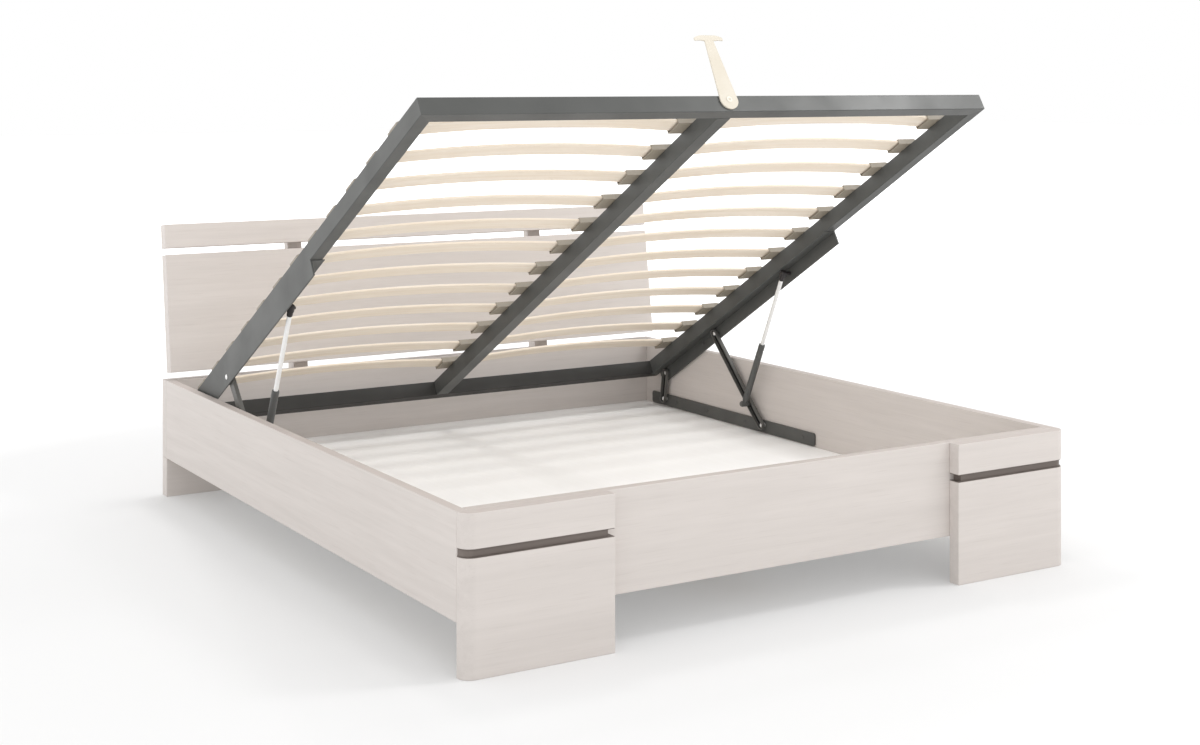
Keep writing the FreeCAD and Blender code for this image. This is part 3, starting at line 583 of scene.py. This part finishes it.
finish_nodes("washed_along", *both("side_panel"))
finish_nodes("washed_across", "foot_panel", *both("foot_leg_upper"), *both("foot_leg_lower"),
             "headboard_lower_board", *both("headboard_leg"), "headboard_panel", "headboard_top_rail")
# the legs' cores take the dark groove wood: painted shade
finish_nodes("groove", *both("foot_leg_core"))
finish_nodes("washed_upright", *both("headboard_upright"))
finish_nodes("floor", *both("storage_floor"))
finish_nodes("plain", "box_battens", "floor_bearer")
finish_nodes("black", "floor_bearer_feet")
finish_nodes("steel", *both("base_rail"), *both("lift_bracket"))
finish_nodes("rail_steel", "base_rail_screws")
finish_nodes("dark_steel", *both("rear_link"), *both("front_link"))
finish_nodes("bright", "base_pivot_pins", "bracket_pivot_pins", "pull_handle_rivet", *both("slide_pin"))
finish_nodes("strut", *both("strut_cylinder"))
finish_nodes("chrome", *both("strut_rod"))
finish_nodes("slat", *[f"slat_row_{row:02d}" for row in ROWS])
finish_nodes("holder", *both("slat_holders"), "slat_holders_centre")
finish_nodes("handle", "pull_handle")
finish_nodes("steel", *[f"frame_tube_{end}" for end in ("foot", "head", "left", "right", "centre")])


# Platform frame

def runs_along(axis):
    """Tells edges that run along an axis from the others."""
    def test(first, second):
        span = second - first
        return abs(span[axis]) > STRAIGHT * span.length
    return test


def round_long_edges(piece, axis):
    pick(piece, "EDGE", runs_along(axis))
    bpy.ops.mesh.bevel(offset=TUBE_ROUNDING, segments=4, affect="EDGES")
    close_edit()


def mitre(piece, axis, middle, inward, width):
    """Draws in the inner long edges at both ends, so that the corners meet on a slant."""
    across = 1 - axis
    for end in (-1, 1):
        pick(piece, "VERT", lambda co: (co[axis] - middle[axis]) * end > 0
             and (co[across] - middle[across]) * inward > 0)
        shift = [0, 0, 0]
        shift[axis] = -end * width
        bpy.ops.transform.translate(value=shift)
        close_edit()


def finish_tube(piece, node):
    smooth(piece, 30)
    set_down(piece, PLATFORM)
    # the head tube takes the darker copy of the coat: painted shade
    finish = {"frame_tube_foot": "smooth_steel", "frame_tube_head": "head_steel_painted_shade"}.get(node, "steel")
    dress(piece, finish, "platform")
    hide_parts(node)


def make_frame_tubes():
    inward = {"foot": (0, 1), "head": (0, -1), "left": (1, 1), "right": (1, -1)}
    for end, (axis, direction) in inward.items():
        node = f"frame_tube_{end}"
        low, high = box_in(node, PLATFORM)
        piece = box_piece(f"platform_tube_{end}", low, high)
        width = (high - low)[1 - axis]
        mitre(piece, axis, (low + high) / 2, direction, width)
        round_long_edges(piece, axis)
        finish_tube(piece, node)
    low, high = box_in("frame_tube_centre", PLATFORM)
    piece = box_piece("platform_tube_centre", low, high)
    round_long_edges(piece, 1)
    finish_tube(piece, "frame_tube_centre")


make_frame_tubes()


# Slats

def make_slat():
    """One bowed slat of the right half: its rounded section is swept round the bow's middle."""
    points = points_in("slat_row_01", PLATFORM)
    low, high = box_in("slat_row_01", PLATFORM)
    inner = min(abs(point.x) for point in points)
    half_chord = (high.x - inner) / 2
    middle_x = (high.x + inner) / 2
    rise = high.z - low.z - SLAT_THICKNESS
    radius = half_chord ** 2 / (2 * rise) + rise / 2
    sweep = 2 * math.asin(half_chord / radius)
    centre = Vector((middle_x, (low.y + high.y) / 2, high.z - SLAT_THICKNESS - radius))
    clear_selection()
    bpy.ops.mesh.primitive_plane_add(size=1, location=(0, 0, 0))
    piece = bpy.context.object
    piece.scale = (SLAT_THICKNESS, high.y - low.y, 1)
    bpy.ops.object.transform_apply(location=False, rotation=False, scale=True)
    pick_all(piece)
    bpy.ops.mesh.bevel(offset=SLAT_EDGE, segments=3, affect="VERTICES")
    close_edit()
    # the section stands on the bow's first end, its thickness along the bow's radius
    start = QUARTER + sweep / 2
    outwards = Vector((math.cos(start), 0, math.sin(start)))
    end_place = centre + outwards * (radius + SLAT_THICKNESS / 2)
    set_down(piece, placed(outwards, Vector((0, 1, 0)), outwards.cross(Vector((0, 1, 0))), end_place))
    pick_all(piece)
    bpy.ops.mesh.spin(steps=SLAT_STEPS, angle=-sweep, center=centre, axis=(0, 1, 0))
    close_edit()
    tidy_faces(piece)
    ply = piece.data.attributes.new("ply", "FLOAT", "POINT")
    for vertex, value in zip(piece.data.vertices, ply.data):
        reach = math.hypot(vertex.co.x - centre.x, vertex.co.z - centre.z)
        value.value = min(1.0, max(0.0, (reach - radius) / SLAT_THICKNESS))
    smooth(piece)
    return piece


def make_slat_rows():
    slat = make_slat()
    twin = copy_of(slat, "slat_twin")
    low, high = box_in("slat_row_01", PLATFORM)
    inner = min(abs(point.x) for point in points_in("slat_row_01", PLATFORM))
    set_down(twin, Matrix.Translation((-(high.x + inner), 0, 0)))
    pair = join("slat_pair", [slat, twin])
    start = (low.y + high.y) / 2
    for row in ROWS:
        node = f"slat_row_{row:02d}"
        row_low, row_high = box_in(node, PLATFORM)
        piece = copy_of(pair, f"slats_{row:02d}") if row < len(ROWS) else pair
        piece.name = f"slats_{row:02d}"
        shift = (row_low.y + row_high.y) / 2 - start
        set_down(piece, PLATFORM @ Matrix.Translation((0, shift, 0)))
        dress(piece, "slat", "platform")
        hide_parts(node)


make_slat_rows()


# Slat holders

def row_middles():
    middles = []
    for row in ROWS:
        low, high = box_in(f"slat_row_{row:02d}", PLATFORM)
        middles.append((low.y + high.y) / 2)
    return middles


def open_mouth(piece, side):
    """Hollows one end of a holder."""
    pick(piece, "FACE", lambda centre, normal: normal.x * side > STRAIGHT)
    bpy.ops.mesh.inset(thickness=HOLDER_WALL)
    bpy.ops.mesh.extrude_region_move(TRANSFORM_OT_translate={"value": (-side * HOLDER_MOUTH_DEPTH, 0, 0)})
    close_edit()


def slope_tail(piece, end, towards, top, end_top):
    """Slopes a socket's top down to its end over the tube."""
    pick_all(piece)
    bpy.ops.mesh.bisect(plane_co=(end + towards * HOLDER_TAIL, 0, 0), plane_no=(1, 0, 0))
    close_edit()
    pick(piece, "VERT", lambda co: abs(co.x - end) < TOUCH and co.z > top - TOUCH)
    bpy.ops.transform.translate(value=(0, 0, end_top - top))
    close_edit()


def make_holder(name, low_x, high_x, low_z, high_z, width, mouths):
    """A moulded socket across a tube; mouths are the sides that take a slat."""
    piece = box_piece(name, Vector((low_x, -width / 2, low_z)), Vector((high_x, width / 2, high_z)))
    if len(mouths) == 1:
        tail = high_x if mouths[0] < 0 else low_x
        slope_tail(piece, tail, mouths[0], high_z, low_z + HOLDER_TAIL_HEIGHT)
    for side in mouths:
        open_mouth(piece, side)
    bevel_edges(piece, HOLDER_ROUNDING, 2)
    tidy_faces(piece)
    smooth(piece)
    return piece


def make_holder_row(name, node, mouths):
    low, high = box_in(node, PLATFORM)
    middles = row_middles()
    width = 2 * (high.y - middles[0])
    start = low.x - HOLDER_REACH if -1 in mouths else low.x
    end = high.x + HOLDER_REACH if 1 in mouths else high.x
    first = make_holder(f"{name}_first", start, end, low.z, high.z, width, mouths)
    row = []
    for number, middle in enumerate(middles):
        piece = copy_of(first, f"{name}_{number}") if number < len(middles) - 1 else first
        set_down(piece, PLATFORM @ Matrix.Translation((0, middle, 0)))
        row.append(piece)
    whole = join(name, row)
    dress(whole, "holder", "platform")
    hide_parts(node)


make_holder_row("holders_left", "slat_holders_left", [1])
make_holder_row("holders_right", "slat_holders_right", [-1])
make_holder_row("holders_centre", "slat_holders_centre", [-1, 1])


# Gas struts

def strut_frame(side):
    """The strut's own frame: Z along the strut from its lower pivot, X across the bed."""
    stroke = Vector(joints[f"strut_{side}_stroke"]["axis"]).normalized()
    pivot = Vector(joints[f"strut_{side}_turn"]["pos_m"])
    pivot.x = 0
    return placed(ACROSS, stroke.cross(ACROSS), stroke, pivot)


def shaped(start, shape, radius):
    """Stations of a turned shape that is given from a start and in shares of a radius."""
    return [(start + step, radius * share) for step, share in shape]


def rounded_bar(near, far, radius, rim):
    """Stations of a plain bar with a rim at both ends."""
    width, share = rim
    return [(near, radius * share), (near + width, radius), (far - width, radius), (far, radius * share)]


def make_strut_cylinder(side, place, at_axis):
    node = f"strut_cylinder_{side}"
    low, high = box_in(node, place)
    tube = turned(f"strut_tube_{side}", shaped(0, STRUT_TUBE_FOOT, STRUT_TUBE_RADIUS)
                  + shaped(high.z, STRUT_TUBE_CAP, STRUT_TUBE_RADIUS))
    set_down(tube, at_axis)
    eye = turned(f"strut_eye_{side}", rounded_bar(low.x, high.x, STRUT_EYE_RADIUS, STRUT_EYE_RIM))
    set_down(eye, place @ Matrix.Rotation(QUARTER, 4, "Y"))
    whole = join(f"strut_cylinder_tube_{side}", [tube, eye])
    dress(whole, "strut", node)
    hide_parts(node)


def make_strut_rod(side, place, at_axis):
    """The rod, and the moulded end with its stud at the upper pivot."""
    node = f"strut_rod_{side}"
    low, high = box_in(node, place)
    pivot_z = high.z - STRUT_EYE_RADIUS
    rod = turned(f"strut_rod_bar_{side}",
                 rounded_bar(low.z, pivot_z - STRUT_ROD_STOP, STRUT_ROD_RADIUS, STRUT_BAR_RIM))
    set_down(rod, at_axis)
    dress(rod, "chrome", node)
    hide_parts(node)
    end = turned(f"strut_end_{side}", shaped(pivot_z, STRUT_END_SHAPE, STRUT_END_RADIUS))
    set_down(end, at_axis)
    stud = turned(f"strut_stud_{side}", rounded_bar(low.x, high.x, STRUT_STUD_RADIUS, STRUT_BAR_RIM))
    set_down(stud, place @ Matrix.Translation((0, 0, pivot_z)) @ Matrix.Rotation(QUARTER, 4, "Y"))
    fitting = join(f"strut_end_fitting_{side}", [end, stud])
    dress(fitting, "black", node)


def make_struts():
    for side in SIDES:
        place = strut_frame(side)
        points = points_in(f"strut_cylinder_{side}", place)
        top = max(point.z for point in points)
        rim = [point.x for point in points if point.z > top - TOUCH]
        at_axis = place @ Matrix.Translation(((min(rim) + max(rim)) / 2, 0, 0))
        make_strut_cylinder(side, place, at_axis)
        make_strut_rod(side, place, at_axis)


make_struts()


# Links, pins and base rails

def stadium(name, width, length):
    """A flat bar with round ends, from a disc whose upper half is drawn out along Y."""
    piece = disc_piece(name, width / 2, ROUND_CORNERS)
    pick(piece, "VERT", lambda co: co.y > 0)
    bpy.ops.transform.translate(value=(0, length, 0))
    close_edit()
    return piece


def channel(name, width, length, depth, wall, edge, bead_side):
    """A pressed channel with round ends, open to +Z, with a bead along one side of its web."""
    piece = stadium(name, width, length)
    pick_all(piece)
    bpy.ops.mesh.extrude_region_move(TRANSFORM_OT_translate={"value": (0, 0, depth)})
    close_edit()
    tidy_faces(piece)
    pick(piece, "FACE", lambda centre, normal: centre.z > depth - wall / 2 and normal.z > STRAIGHT)
    bpy.ops.mesh.inset(thickness=wall)
    bpy.ops.mesh.extrude_region_move(TRANSFORM_OT_translate={"value": (0, 0, wall - depth)})
    bpy.ops.mesh.inset(thickness=edge)
    room = width - 2 * wall - 2 * edge
    bpy.ops.transform.resize(value=(LINK_BEAD_WIDTH / room, 1, 1))
    bpy.ops.transform.translate(value=(bead_side * (room - LINK_BEAD_WIDTH) / 2, 0, 0))
    bpy.ops.mesh.extrude_region_move(TRANSFORM_OT_translate={"value": (0, 0, -LINK_BEAD_DEPTH)})
    close_edit()
    bevel_edges(piece, edge / 3, 2, clamp=False)
    tidy_faces(piece)
    smooth(piece)
    return piece


def in_bead(wall):
    """Tells the faces of a channel's bead from its other faces."""
    def test(centre):
        return LINK_EDGE < centre.z < wall - LINK_BEAD_DEPTH / 4 and abs(centre.x) < LINK_WIDTH / 2 - wall
    return test


def paint_shade_in_channel(piece, test):
    # the faces that pass the test get the near-black coat: painted shade in the channel
    piece.data.materials.append(FINISHES["channel_painted_shade"])
    for face in piece.data.polygons:
        if test(face.center):
            face.material_index = 1


def pin_head(start, towards=-1):
    """Stations of a domed head that stands on a face, in the direction given."""
    return [(start + towards * rise * PIN_HEAD_HEIGHT, PIN_HEAD_RADIUS * share)
            for rise, share in PIN_HEAD_SHAPE]


def pin_stem(seat, back, web):
    """Stations of a pin with a collar from its seat to a link's back, and a thinner stem through the web."""
    return [(seat, PIN_COLLAR_RADIUS), (back, PIN_COLLAR_RADIUS), (back, PIN_RADIUS), (web, PIN_RADIUS)]


def across_piece(name, stations, sign, place, corners=28):
    """A round piece across the bed at a place; stations are (distance from the middle plane, radius)."""
    piece = turned(name, stations, corners)
    set_down(piece, Matrix.Translation((0, place.y, place.z)) @ Matrix.Rotation(sign * QUARTER, 4, "Y"))
    return piece


def link_face(sign, node):
    """Distances of a link's back and web face from the middle plane."""
    low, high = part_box(node)
    back = high.x if sign > 0 else -low.x
    return back, back - LINK_WALL


def make_link(kind, side, lower, upper):
    sign = SIDES[side]
    node = f"{kind}_link_{side}"
    back, web = link_face(sign, node)
    length = (upper - lower).length
    along = (upper - lower).normalized()
    inward = Vector((-sign, 0, 0))
    piece = channel(f"{kind}_link_channel_{side}", LINK_WIDTH, length, LINK_DEPTH, LINK_WALL, LINK_EDGE,
                    -sign)
    dress(piece, "dark_steel", node)
    # the bead in the web gets painted shade
    paint_shade_in_channel(piece, in_bead(LINK_WALL))
    set_down(piece, placed(along.cross(inward), along, inward, Vector((sign * back, lower.y, lower.z))))
    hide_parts(node)
    return web


def strut_bolt(side, web):
    """The bolt on the front link that carries the strut's foot."""
    sign = SIDES[side]
    low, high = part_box(f"front_link_{side}")
    near = low.x if sign > 0 else -high.x
    rim = web - LINK_DEPTH + LINK_WALL
    seat = near + BOLT_HEAD_HEIGHT
    stations = [(web, PIN_COLLAR_RADIUS), (rim, PIN_COLLAR_RADIUS), (rim, PIN_RADIUS), (seat, PIN_RADIUS),
                (seat, PIN_HEAD_RADIUS), (near + BOLT_EDGE, PIN_HEAD_RADIUS),
                (near, PIN_HEAD_RADIUS * BOLT_EDGE_SHARE)]
    bolt = across_piece(f"strut_bolt_{side}", stations, sign, Vector(joints[f"strut_{side}_turn"]["pos_m"]))
    dress(bolt, "dark_steel", f"front_link_{side}")


def front_link_foot():
    """Where the front links stand on the base rails: at the lower ends of their solids."""
    top = Vector(joints["front_link_right_turn"]["pos_m"])
    along = (Vector(joints["strut_right_turn"]["pos_m"]) - top).normalized()
    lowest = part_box("front_link_right")[0].z
    return top + along * ((lowest + LINK_WIDTH / 2 - top.z) / along.z)


def make_links():
    rear_foot = Vector(joints["rear_link_right_turn"]["pos_m"])
    rear_top = Vector(joints["lift"]["pos_m"])
    front_top = Vector(joints["front_link_right_turn"]["pos_m"])
    front_foot = front_link_foot()
    base_pins = []
    bracket_pins = []
    for side, sign in SIDES.items():
        web = make_link("rear", side, rear_foot, rear_top)
        make_link("front", side, front_foot, front_top)
        strut_bolt(side, web)
        rail = link_face(sign, f"base_rail_{side}")[0] - PIN_SEAT_DEPTH
        low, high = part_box(f"lift_bracket_{side}")
        bracket = (high.x if sign > 0 else -low.x) - BRACKET_WALL
        front = web - MOVING_GAP
        back = web + LINK_WALL + MOVING_GAP
        head = pin_head(front)
        base_pin = pin_stem(rail, back, front) + head
        base_pins.append(across_piece(f"rear_base_pin_{side}", base_pin, sign, rear_foot))
        stud = [(rail, PIN_COLLAR_RADIUS), (back, PIN_COLLAR_RADIUS)]
        base_pins.append(across_piece(f"front_base_stud_{side}", stud, sign, front_foot))
        bracket_pin = pin_stem(bracket, back, front) + head
        bracket_pins.append(across_piece(f"rear_bracket_pin_{side}", bracket_pin, sign, rear_top))
        rivet = [(web, PIN_HEAD_RADIUS * RIVET_ROOT_SHARE)] + pin_head(web)
        foot_rivet = across_piece(f"front_link_rivet_{side}", rivet, sign, front_foot)
        dress(foot_rivet, "bright", f"front_link_{side}")
        shank = [(bracket + BRACKET_GROOVE - MOVING_GAP, PIN_RADIUS), (front, PIN_RADIUS)]
        slide = across_piece(f"slide_pin_rivet_{side}", shank + head, sign, front_top)
        dress(slide, "bright", f"slide_pin_{side}")
        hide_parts(f"slide_pin_{side}")
    whole = join("rail_pins", base_pins)
    dress(whole, "bright", "bed_frame")
    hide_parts("base_pivot_pins")
    whole = join("bracket_pins", bracket_pins)
    dress(whole, "bright", "platform")
    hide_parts("bracket_pivot_pins")


def cut_out(piece, cutter):
    """Takes one piece's shape out of another."""
    modifier = piece.modifiers.new("cut", "BOOLEAN")
    modifier.operation = "DIFFERENCE"
    modifier.solver = "EXACT"
    modifier.object = cutter
    hold(piece)
    bpy.ops.object.modifier_apply(modifier=modifier.name)
    bpy.data.objects.remove(cutter)


def make_lift_brackets():
    """Angle profiles flush with the side tubes, with a blind groove that the front link's pin slides in."""
    run = -joints["slide_pin_right_run"]["range_m"][0]
    for side, sign in SIDES.items():
        node = f"lift_bracket_{side}"
        low, high = box_in(node, PLATFORM)
        tube_low, tube_high = box_in(f"frame_tube_{side}", PLATFORM)
        outer = tube_high.x if sign > 0 else tube_low.x
        inner = (high.x if sign > 0 else low.x) - sign * BRACKET_WALL
        edge = low.x if sign > 0 else high.x
        wall = box_piece(f"bracket_wall_{side}", Vector((min(inner, outer), low.y, low.z)),
                         Vector((max(inner, outer), high.y, high.z)))
        pin_low, pin_high = box_in(f"slide_pin_{side}", PLATFORM)
        pin_place = (pin_low + pin_high) / 2
        cutter = stadium("groove_cutter", 2 * (PIN_RADIUS + MOVING_GAP), run)
        pick_all(cutter)
        bpy.ops.mesh.extrude_region_move(TRANSFORM_OT_translate={"value": (0, 0, 2 * BRACKET_GROOVE)})
        close_edit()
        tidy_faces(cutter)
        start = Vector((inner - sign * BRACKET_GROOVE, pin_place.y, pin_place.z))
        set_down(cutter, placed(Vector((0, 0, -sign)), Vector((0, 1, 0)), Vector((sign, 0, 0)), start))
        cut_out(wall, cutter)
        root = inner + sign * MOVING_GAP
        flange = box_piece(f"bracket_flange_{side}",
                           Vector((min(root, edge), low.y, high.z - BRACKET_WALL)),
                           Vector((max(root, edge), high.y, high.z)))
        inset = outer - sign * WELD_SET_BACK
        weld = box_piece(f"bracket_weld_{side}",
                         Vector((min(inset, inset - sign * WELD_WIDTH), low.y, high.z - WELD_RISE)),
                         Vector((max(inset, inset - sign * WELD_WIDTH), high.y, high.z + WELD_RISE)))
        whole = join(f"lift_angle_{side}", [wall, flange, weld])
        bevel_edges(whole, BRACKET_EDGE, 2, 60)
        smooth(whole)
        set_down(whole, PLATFORM)
        dress(whole, "steel", "platform")
        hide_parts(node)
        rivet = across_piece(f"bracket_rivet_{side}", pin_head(abs(outer), RIVET_RISE_SHARE), sign,
                             PLATFORM @ pin_place)
        dress(rivet, "bright", "platform")


def make_base_rails():
    for side, sign in SIDES.items():
        node = f"base_rail_{side}"
        low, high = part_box(node)
        piece = box_piece(f"base_channel_{side}", low, high)
        pick(piece, "EDGE", runs_along(0))
        bpy.ops.mesh.bevel(offset=RAIL_CORNER, segments=6, affect="EDGES")
        close_edit()
        pick(piece, "FACE", lambda centre, normal: normal.x * sign > STRAIGHT)
        bpy.ops.mesh.inset(thickness=RAIL_WALL)
        bpy.ops.mesh.extrude_region_move(TRANSFORM_OT_translate={"value": (-sign * RAIL_WALL, 0, 0)})
        close_edit()
        bevel_edges(piece, RAIL_EDGE, 2)
        smooth(piece)
        dress(piece, "rail_steel", "bed_frame")
        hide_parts(node)


make_links()
make_lift_brackets()
make_base_rails()


# Painted shade in the legs' grooves

def make_groove_painted_shade():
    """A dark core with thin dark sheets on the groove's floor and roof: painted shade in the recess."""
    for side, sign in SIDES.items():
        node = f"foot_leg_core_{side}"
        low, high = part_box(node)
        leg_low, leg_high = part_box(f"foot_leg_lower_{side}")
        outline_low = Vector((leg_low.x + GROOVE_SET_BACK, leg_low.y + GROOVE_SET_BACK, 0))
        outline_high = Vector((leg_high.x - GROOVE_SET_BACK, high.y, 0))
        outer = outline_high.x if sign > 0 else outline_low.x
        inner = low.x if sign > 0 else high.x
        deep = outer - sign * GROOVE_SIDE_DEPTH
        core = box_piece(f"groove_core_{side}",
                         Vector((min(inner, deep), outline_low.y + GROOVE_DEPTH, low.z)),
                         Vector((max(inner, deep), high.y, high.z)))
        pick(core, "EDGE", lambda first, second: runs_along(2)(first, second)
             and abs(first.x - deep) < TOUCH and first.y < high.y - TOUCH)
        bpy.ops.mesh.bevel(offset=LEG_CORNER - GROOVE_DEPTH, segments=10, affect="EDGES")
        close_edit()
        layers = [core]
        for number, base in enumerate((low.z + MOVING_GAP, high.z - MOVING_GAP - GROOVE_SHADE_SHEET)):
            shade_sheet = box_piece(f"groove_lip_{side}_{number}", outline_low + Vector((0, 0, base)),
                            outline_high + Vector((0, 0, base + GROOVE_SHADE_SHEET)))
            pick(shade_sheet, "EDGE", lambda first, second: runs_along(2)(first, second)
                 and abs(first.x - outer) < TOUCH and abs(first.y - outline_low.y) < TOUCH)
            bpy.ops.mesh.bevel(offset=LEG_CORNER, segments=10, affect="EDGES")
            close_edit()
            layers.append(shade_sheet)
        whole = join(f"groove_edging_{side}", layers)
        bevel_edges(whole, GROOVE_EDGE, 1)
        smooth(whole)
        dress(whole, "groove", "bed_frame")
        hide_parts(node)


make_groove_painted_shade()


# Pull handle

def draw_out(bar, end, stations, thickness):
    """Draws out one end of the grip bar: stations are (reach, middle height, height)."""
    pick(bar, "FACE", lambda centre, normal: normal.x * end > STRAIGHT)
    reach, middle, height = stations[0]
    for next_reach, next_middle, next_height in stations[1:]:
        step = (end * (next_reach - reach), next_middle - middle, 0)
        bpy.ops.mesh.extrude_region_move(TRANSFORM_OT_translate={"value": step})
        bpy.ops.transform.resize(value=(1, next_height / height, HANDLE_BAR_TAPER),
                                 center_override=(end * next_reach, next_middle, thickness / 2))
        reach, middle, height = next_reach, next_middle, next_height
    close_edit()


def make_pull_handle():
    """A moulded strap that widens to a round foot, with a grip bar whose ends droop."""
    low, high = box_in("pull_handle", PLATFORM)
    rivet_low, rivet_high = box_in("pull_handle_rivet", PLATFORM)
    rivet_place = (rivet_low + rivet_high) / 2
    foot = rivet_place.z - low.z
    thickness = high.y - low.y
    top = high.z - rivet_place.z
    place = PLATFORM @ placed(ACROSS, Vector((0, 0, 1)), Vector((0, -1, 0)),
                              Vector((rivet_place.x, high.y, rivet_place.z)))
    strap = disc_piece("pull_strap", foot, ROUND_CORNERS)
    pick(strap, "VERT", lambda co: co.y > 0)
    bpy.ops.transform.resize(value=(HANDLE_NECK / 2 / foot, HANDLE_NECK_FLATTENING, 1),
                             center_override=(0, 0, 0))
    bpy.ops.transform.translate(value=(0, top - HANDLE_BAR_HEIGHT / 2, 0))
    close_edit()
    pick_all(strap)
    bpy.ops.transform.translate(value=(0, 0, HANDLE_STEP))
    bpy.ops.mesh.extrude_region_move(TRANSFORM_OT_translate={"value": (0, 0, thickness - 2 * HANDLE_STEP)})
    close_edit()
    tidy_faces(strap)
    bevel_edges(strap, HANDLE_EDGE, 3, 50)
    half = (high.x - low.x) / 2
    start = HANDLE_NECK / 2
    grip = box_piece("pull_grip", Vector((-start, top - HANDLE_BAR_HEIGHT, 0)),
                     Vector((start, top, thickness)))
    stations = [(start + share * (half - start), top - drop - height / 2, height)
                for share, drop, height in HANDLE_BAR_STEPS]
    for end in (-1, 1):
        draw_out(grip, end, stations, thickness)
    tidy_faces(grip)
    bevel_edges(grip, HANDLE_EDGE, 3, 50)
    whole = join("pull_strap_with_grip", [strap, grip])
    smooth(whole)
    set_down(whole, place)
    dress(whole, "handle", "pull_handle")
    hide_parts("pull_handle")
    rivet = turned("pull_strap_eyelet", [(HANDLE_STEP, EYELET_SHANK), (thickness, EYELET_SHANK)]
                   + [(thickness + rise, radius) for rise, radius in EYELET_STATIONS])
    set_down(rivet, place)
    dress(rivet, "eyelet", "platform")
    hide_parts("pull_handle_rivet")


make_pull_handle()


# Stage, light and camera

def make_floor():
    clear_selection()
    bpy.ops.mesh.primitive_plane_add(size=FLOOR_SIZE, location=(0, 0, 0))
    floor = bpy.context.object
    floor.name = "studio_floor"
    material, tree, shader, place = new_material("studio_floor_paint", 0.8, specular=0.1)
    shader.inputs["Base Color"].default_value = linear("DADADA")
    distance = add_node(tree, "ShaderNodeVectorMath", {0: place}, operation="LENGTH").outputs["Value"]
    glow = spread(tree, distance, *FLOOR_GLOW_REACH, *FLOOR_GLOW)
    shader.inputs["Emission Color"].default_value = (1, 1, 1, 1)
    tree.links.new(glow, shader.inputs["Emission Strength"])
    floor.data.materials.append(material)


def make_world():
    world = bpy.data.worlds.new("studio")
    bpy.context.scene.world = world
    world.use_nodes = True
    tree = world.node_tree
    tree.nodes.clear()
    direction = tree.nodes.new("ShaderNodeTexCoord").outputs["Generated"]
    height = add_node(tree, "ShaderNodeSeparateXYZ", {0: direction}).outputs["Z"]
    glow = spread(tree, height, 0.0, 0.9, HORIZON_LIGHT, ZENITH_LIGHT)
    light = add_node(tree, "ShaderNodeBackground", {"Color": (1, 1, 1, 1), "Strength": glow}).outputs[0]
    seen = add_node(tree, "ShaderNodeBackground", {"Color": (1, 1, 1, 1), "Strength": 1.0}).outputs[0]
    camera_ray = tree.nodes.new("ShaderNodeLightPath").outputs["Is Camera Ray"]
    mix = add_node(tree, "ShaderNodeMixShader", {0: camera_ray, 1: light, 2: seen})
    out = tree.nodes.new("ShaderNodeOutputWorld")
    tree.links.new(mix.outputs[0], out.inputs["Surface"])


def area_light(name, place, aim, width, height, power):
    lamp = bpy.data.lights.new(name, "AREA")
    lamp.shape = "RECTANGLE"
    lamp.size = width
    lamp.size_y = height
    lamp.energy = power
    holder = bpy.data.objects.new(name, lamp)
    bpy.context.scene.collection.objects.link(holder)
    holder.location = place
    holder.rotation_euler = (Vector(aim) - Vector(place)).to_track_quat("-Z", "Y").to_euler()


def make_camera():
    lens = bpy.data.cameras.new("photo_camera")
    lens.sensor_fit = "HORIZONTAL"
    lens.sensor_width = 36.0
    lens.lens = LENS_LENGTH
    lens.shift_y = LENS_SHIFT
    lens.clip_end = 200.0
    camera = bpy.data.objects.new("photo_camera", lens)
    bpy.context.scene.collection.objects.link(camera)
    camera.location = (CAMERA_SIDE, cad_low.y - CAMERA_BEFORE_FOOT, CAMERA_HEIGHT)
    camera.rotation_euler = (QUARTER, 0, CAMERA_TURN)
    bpy.context.scene.camera = camera


make_floor()
make_world()
area_light("soft_box", place=(3.15, -2.32, 3.89), aim=(0, -0.4, 0.8), width=1.0, height=1.0, power=44)
area_light("top_light", place=(0.2, 1.4, 4.6), aim=(0, -0.2, 0.1), width=0.8, height=0.8, power=30)
make_camera()
bpy.context.scene.view_settings.view_transform = "Standard"
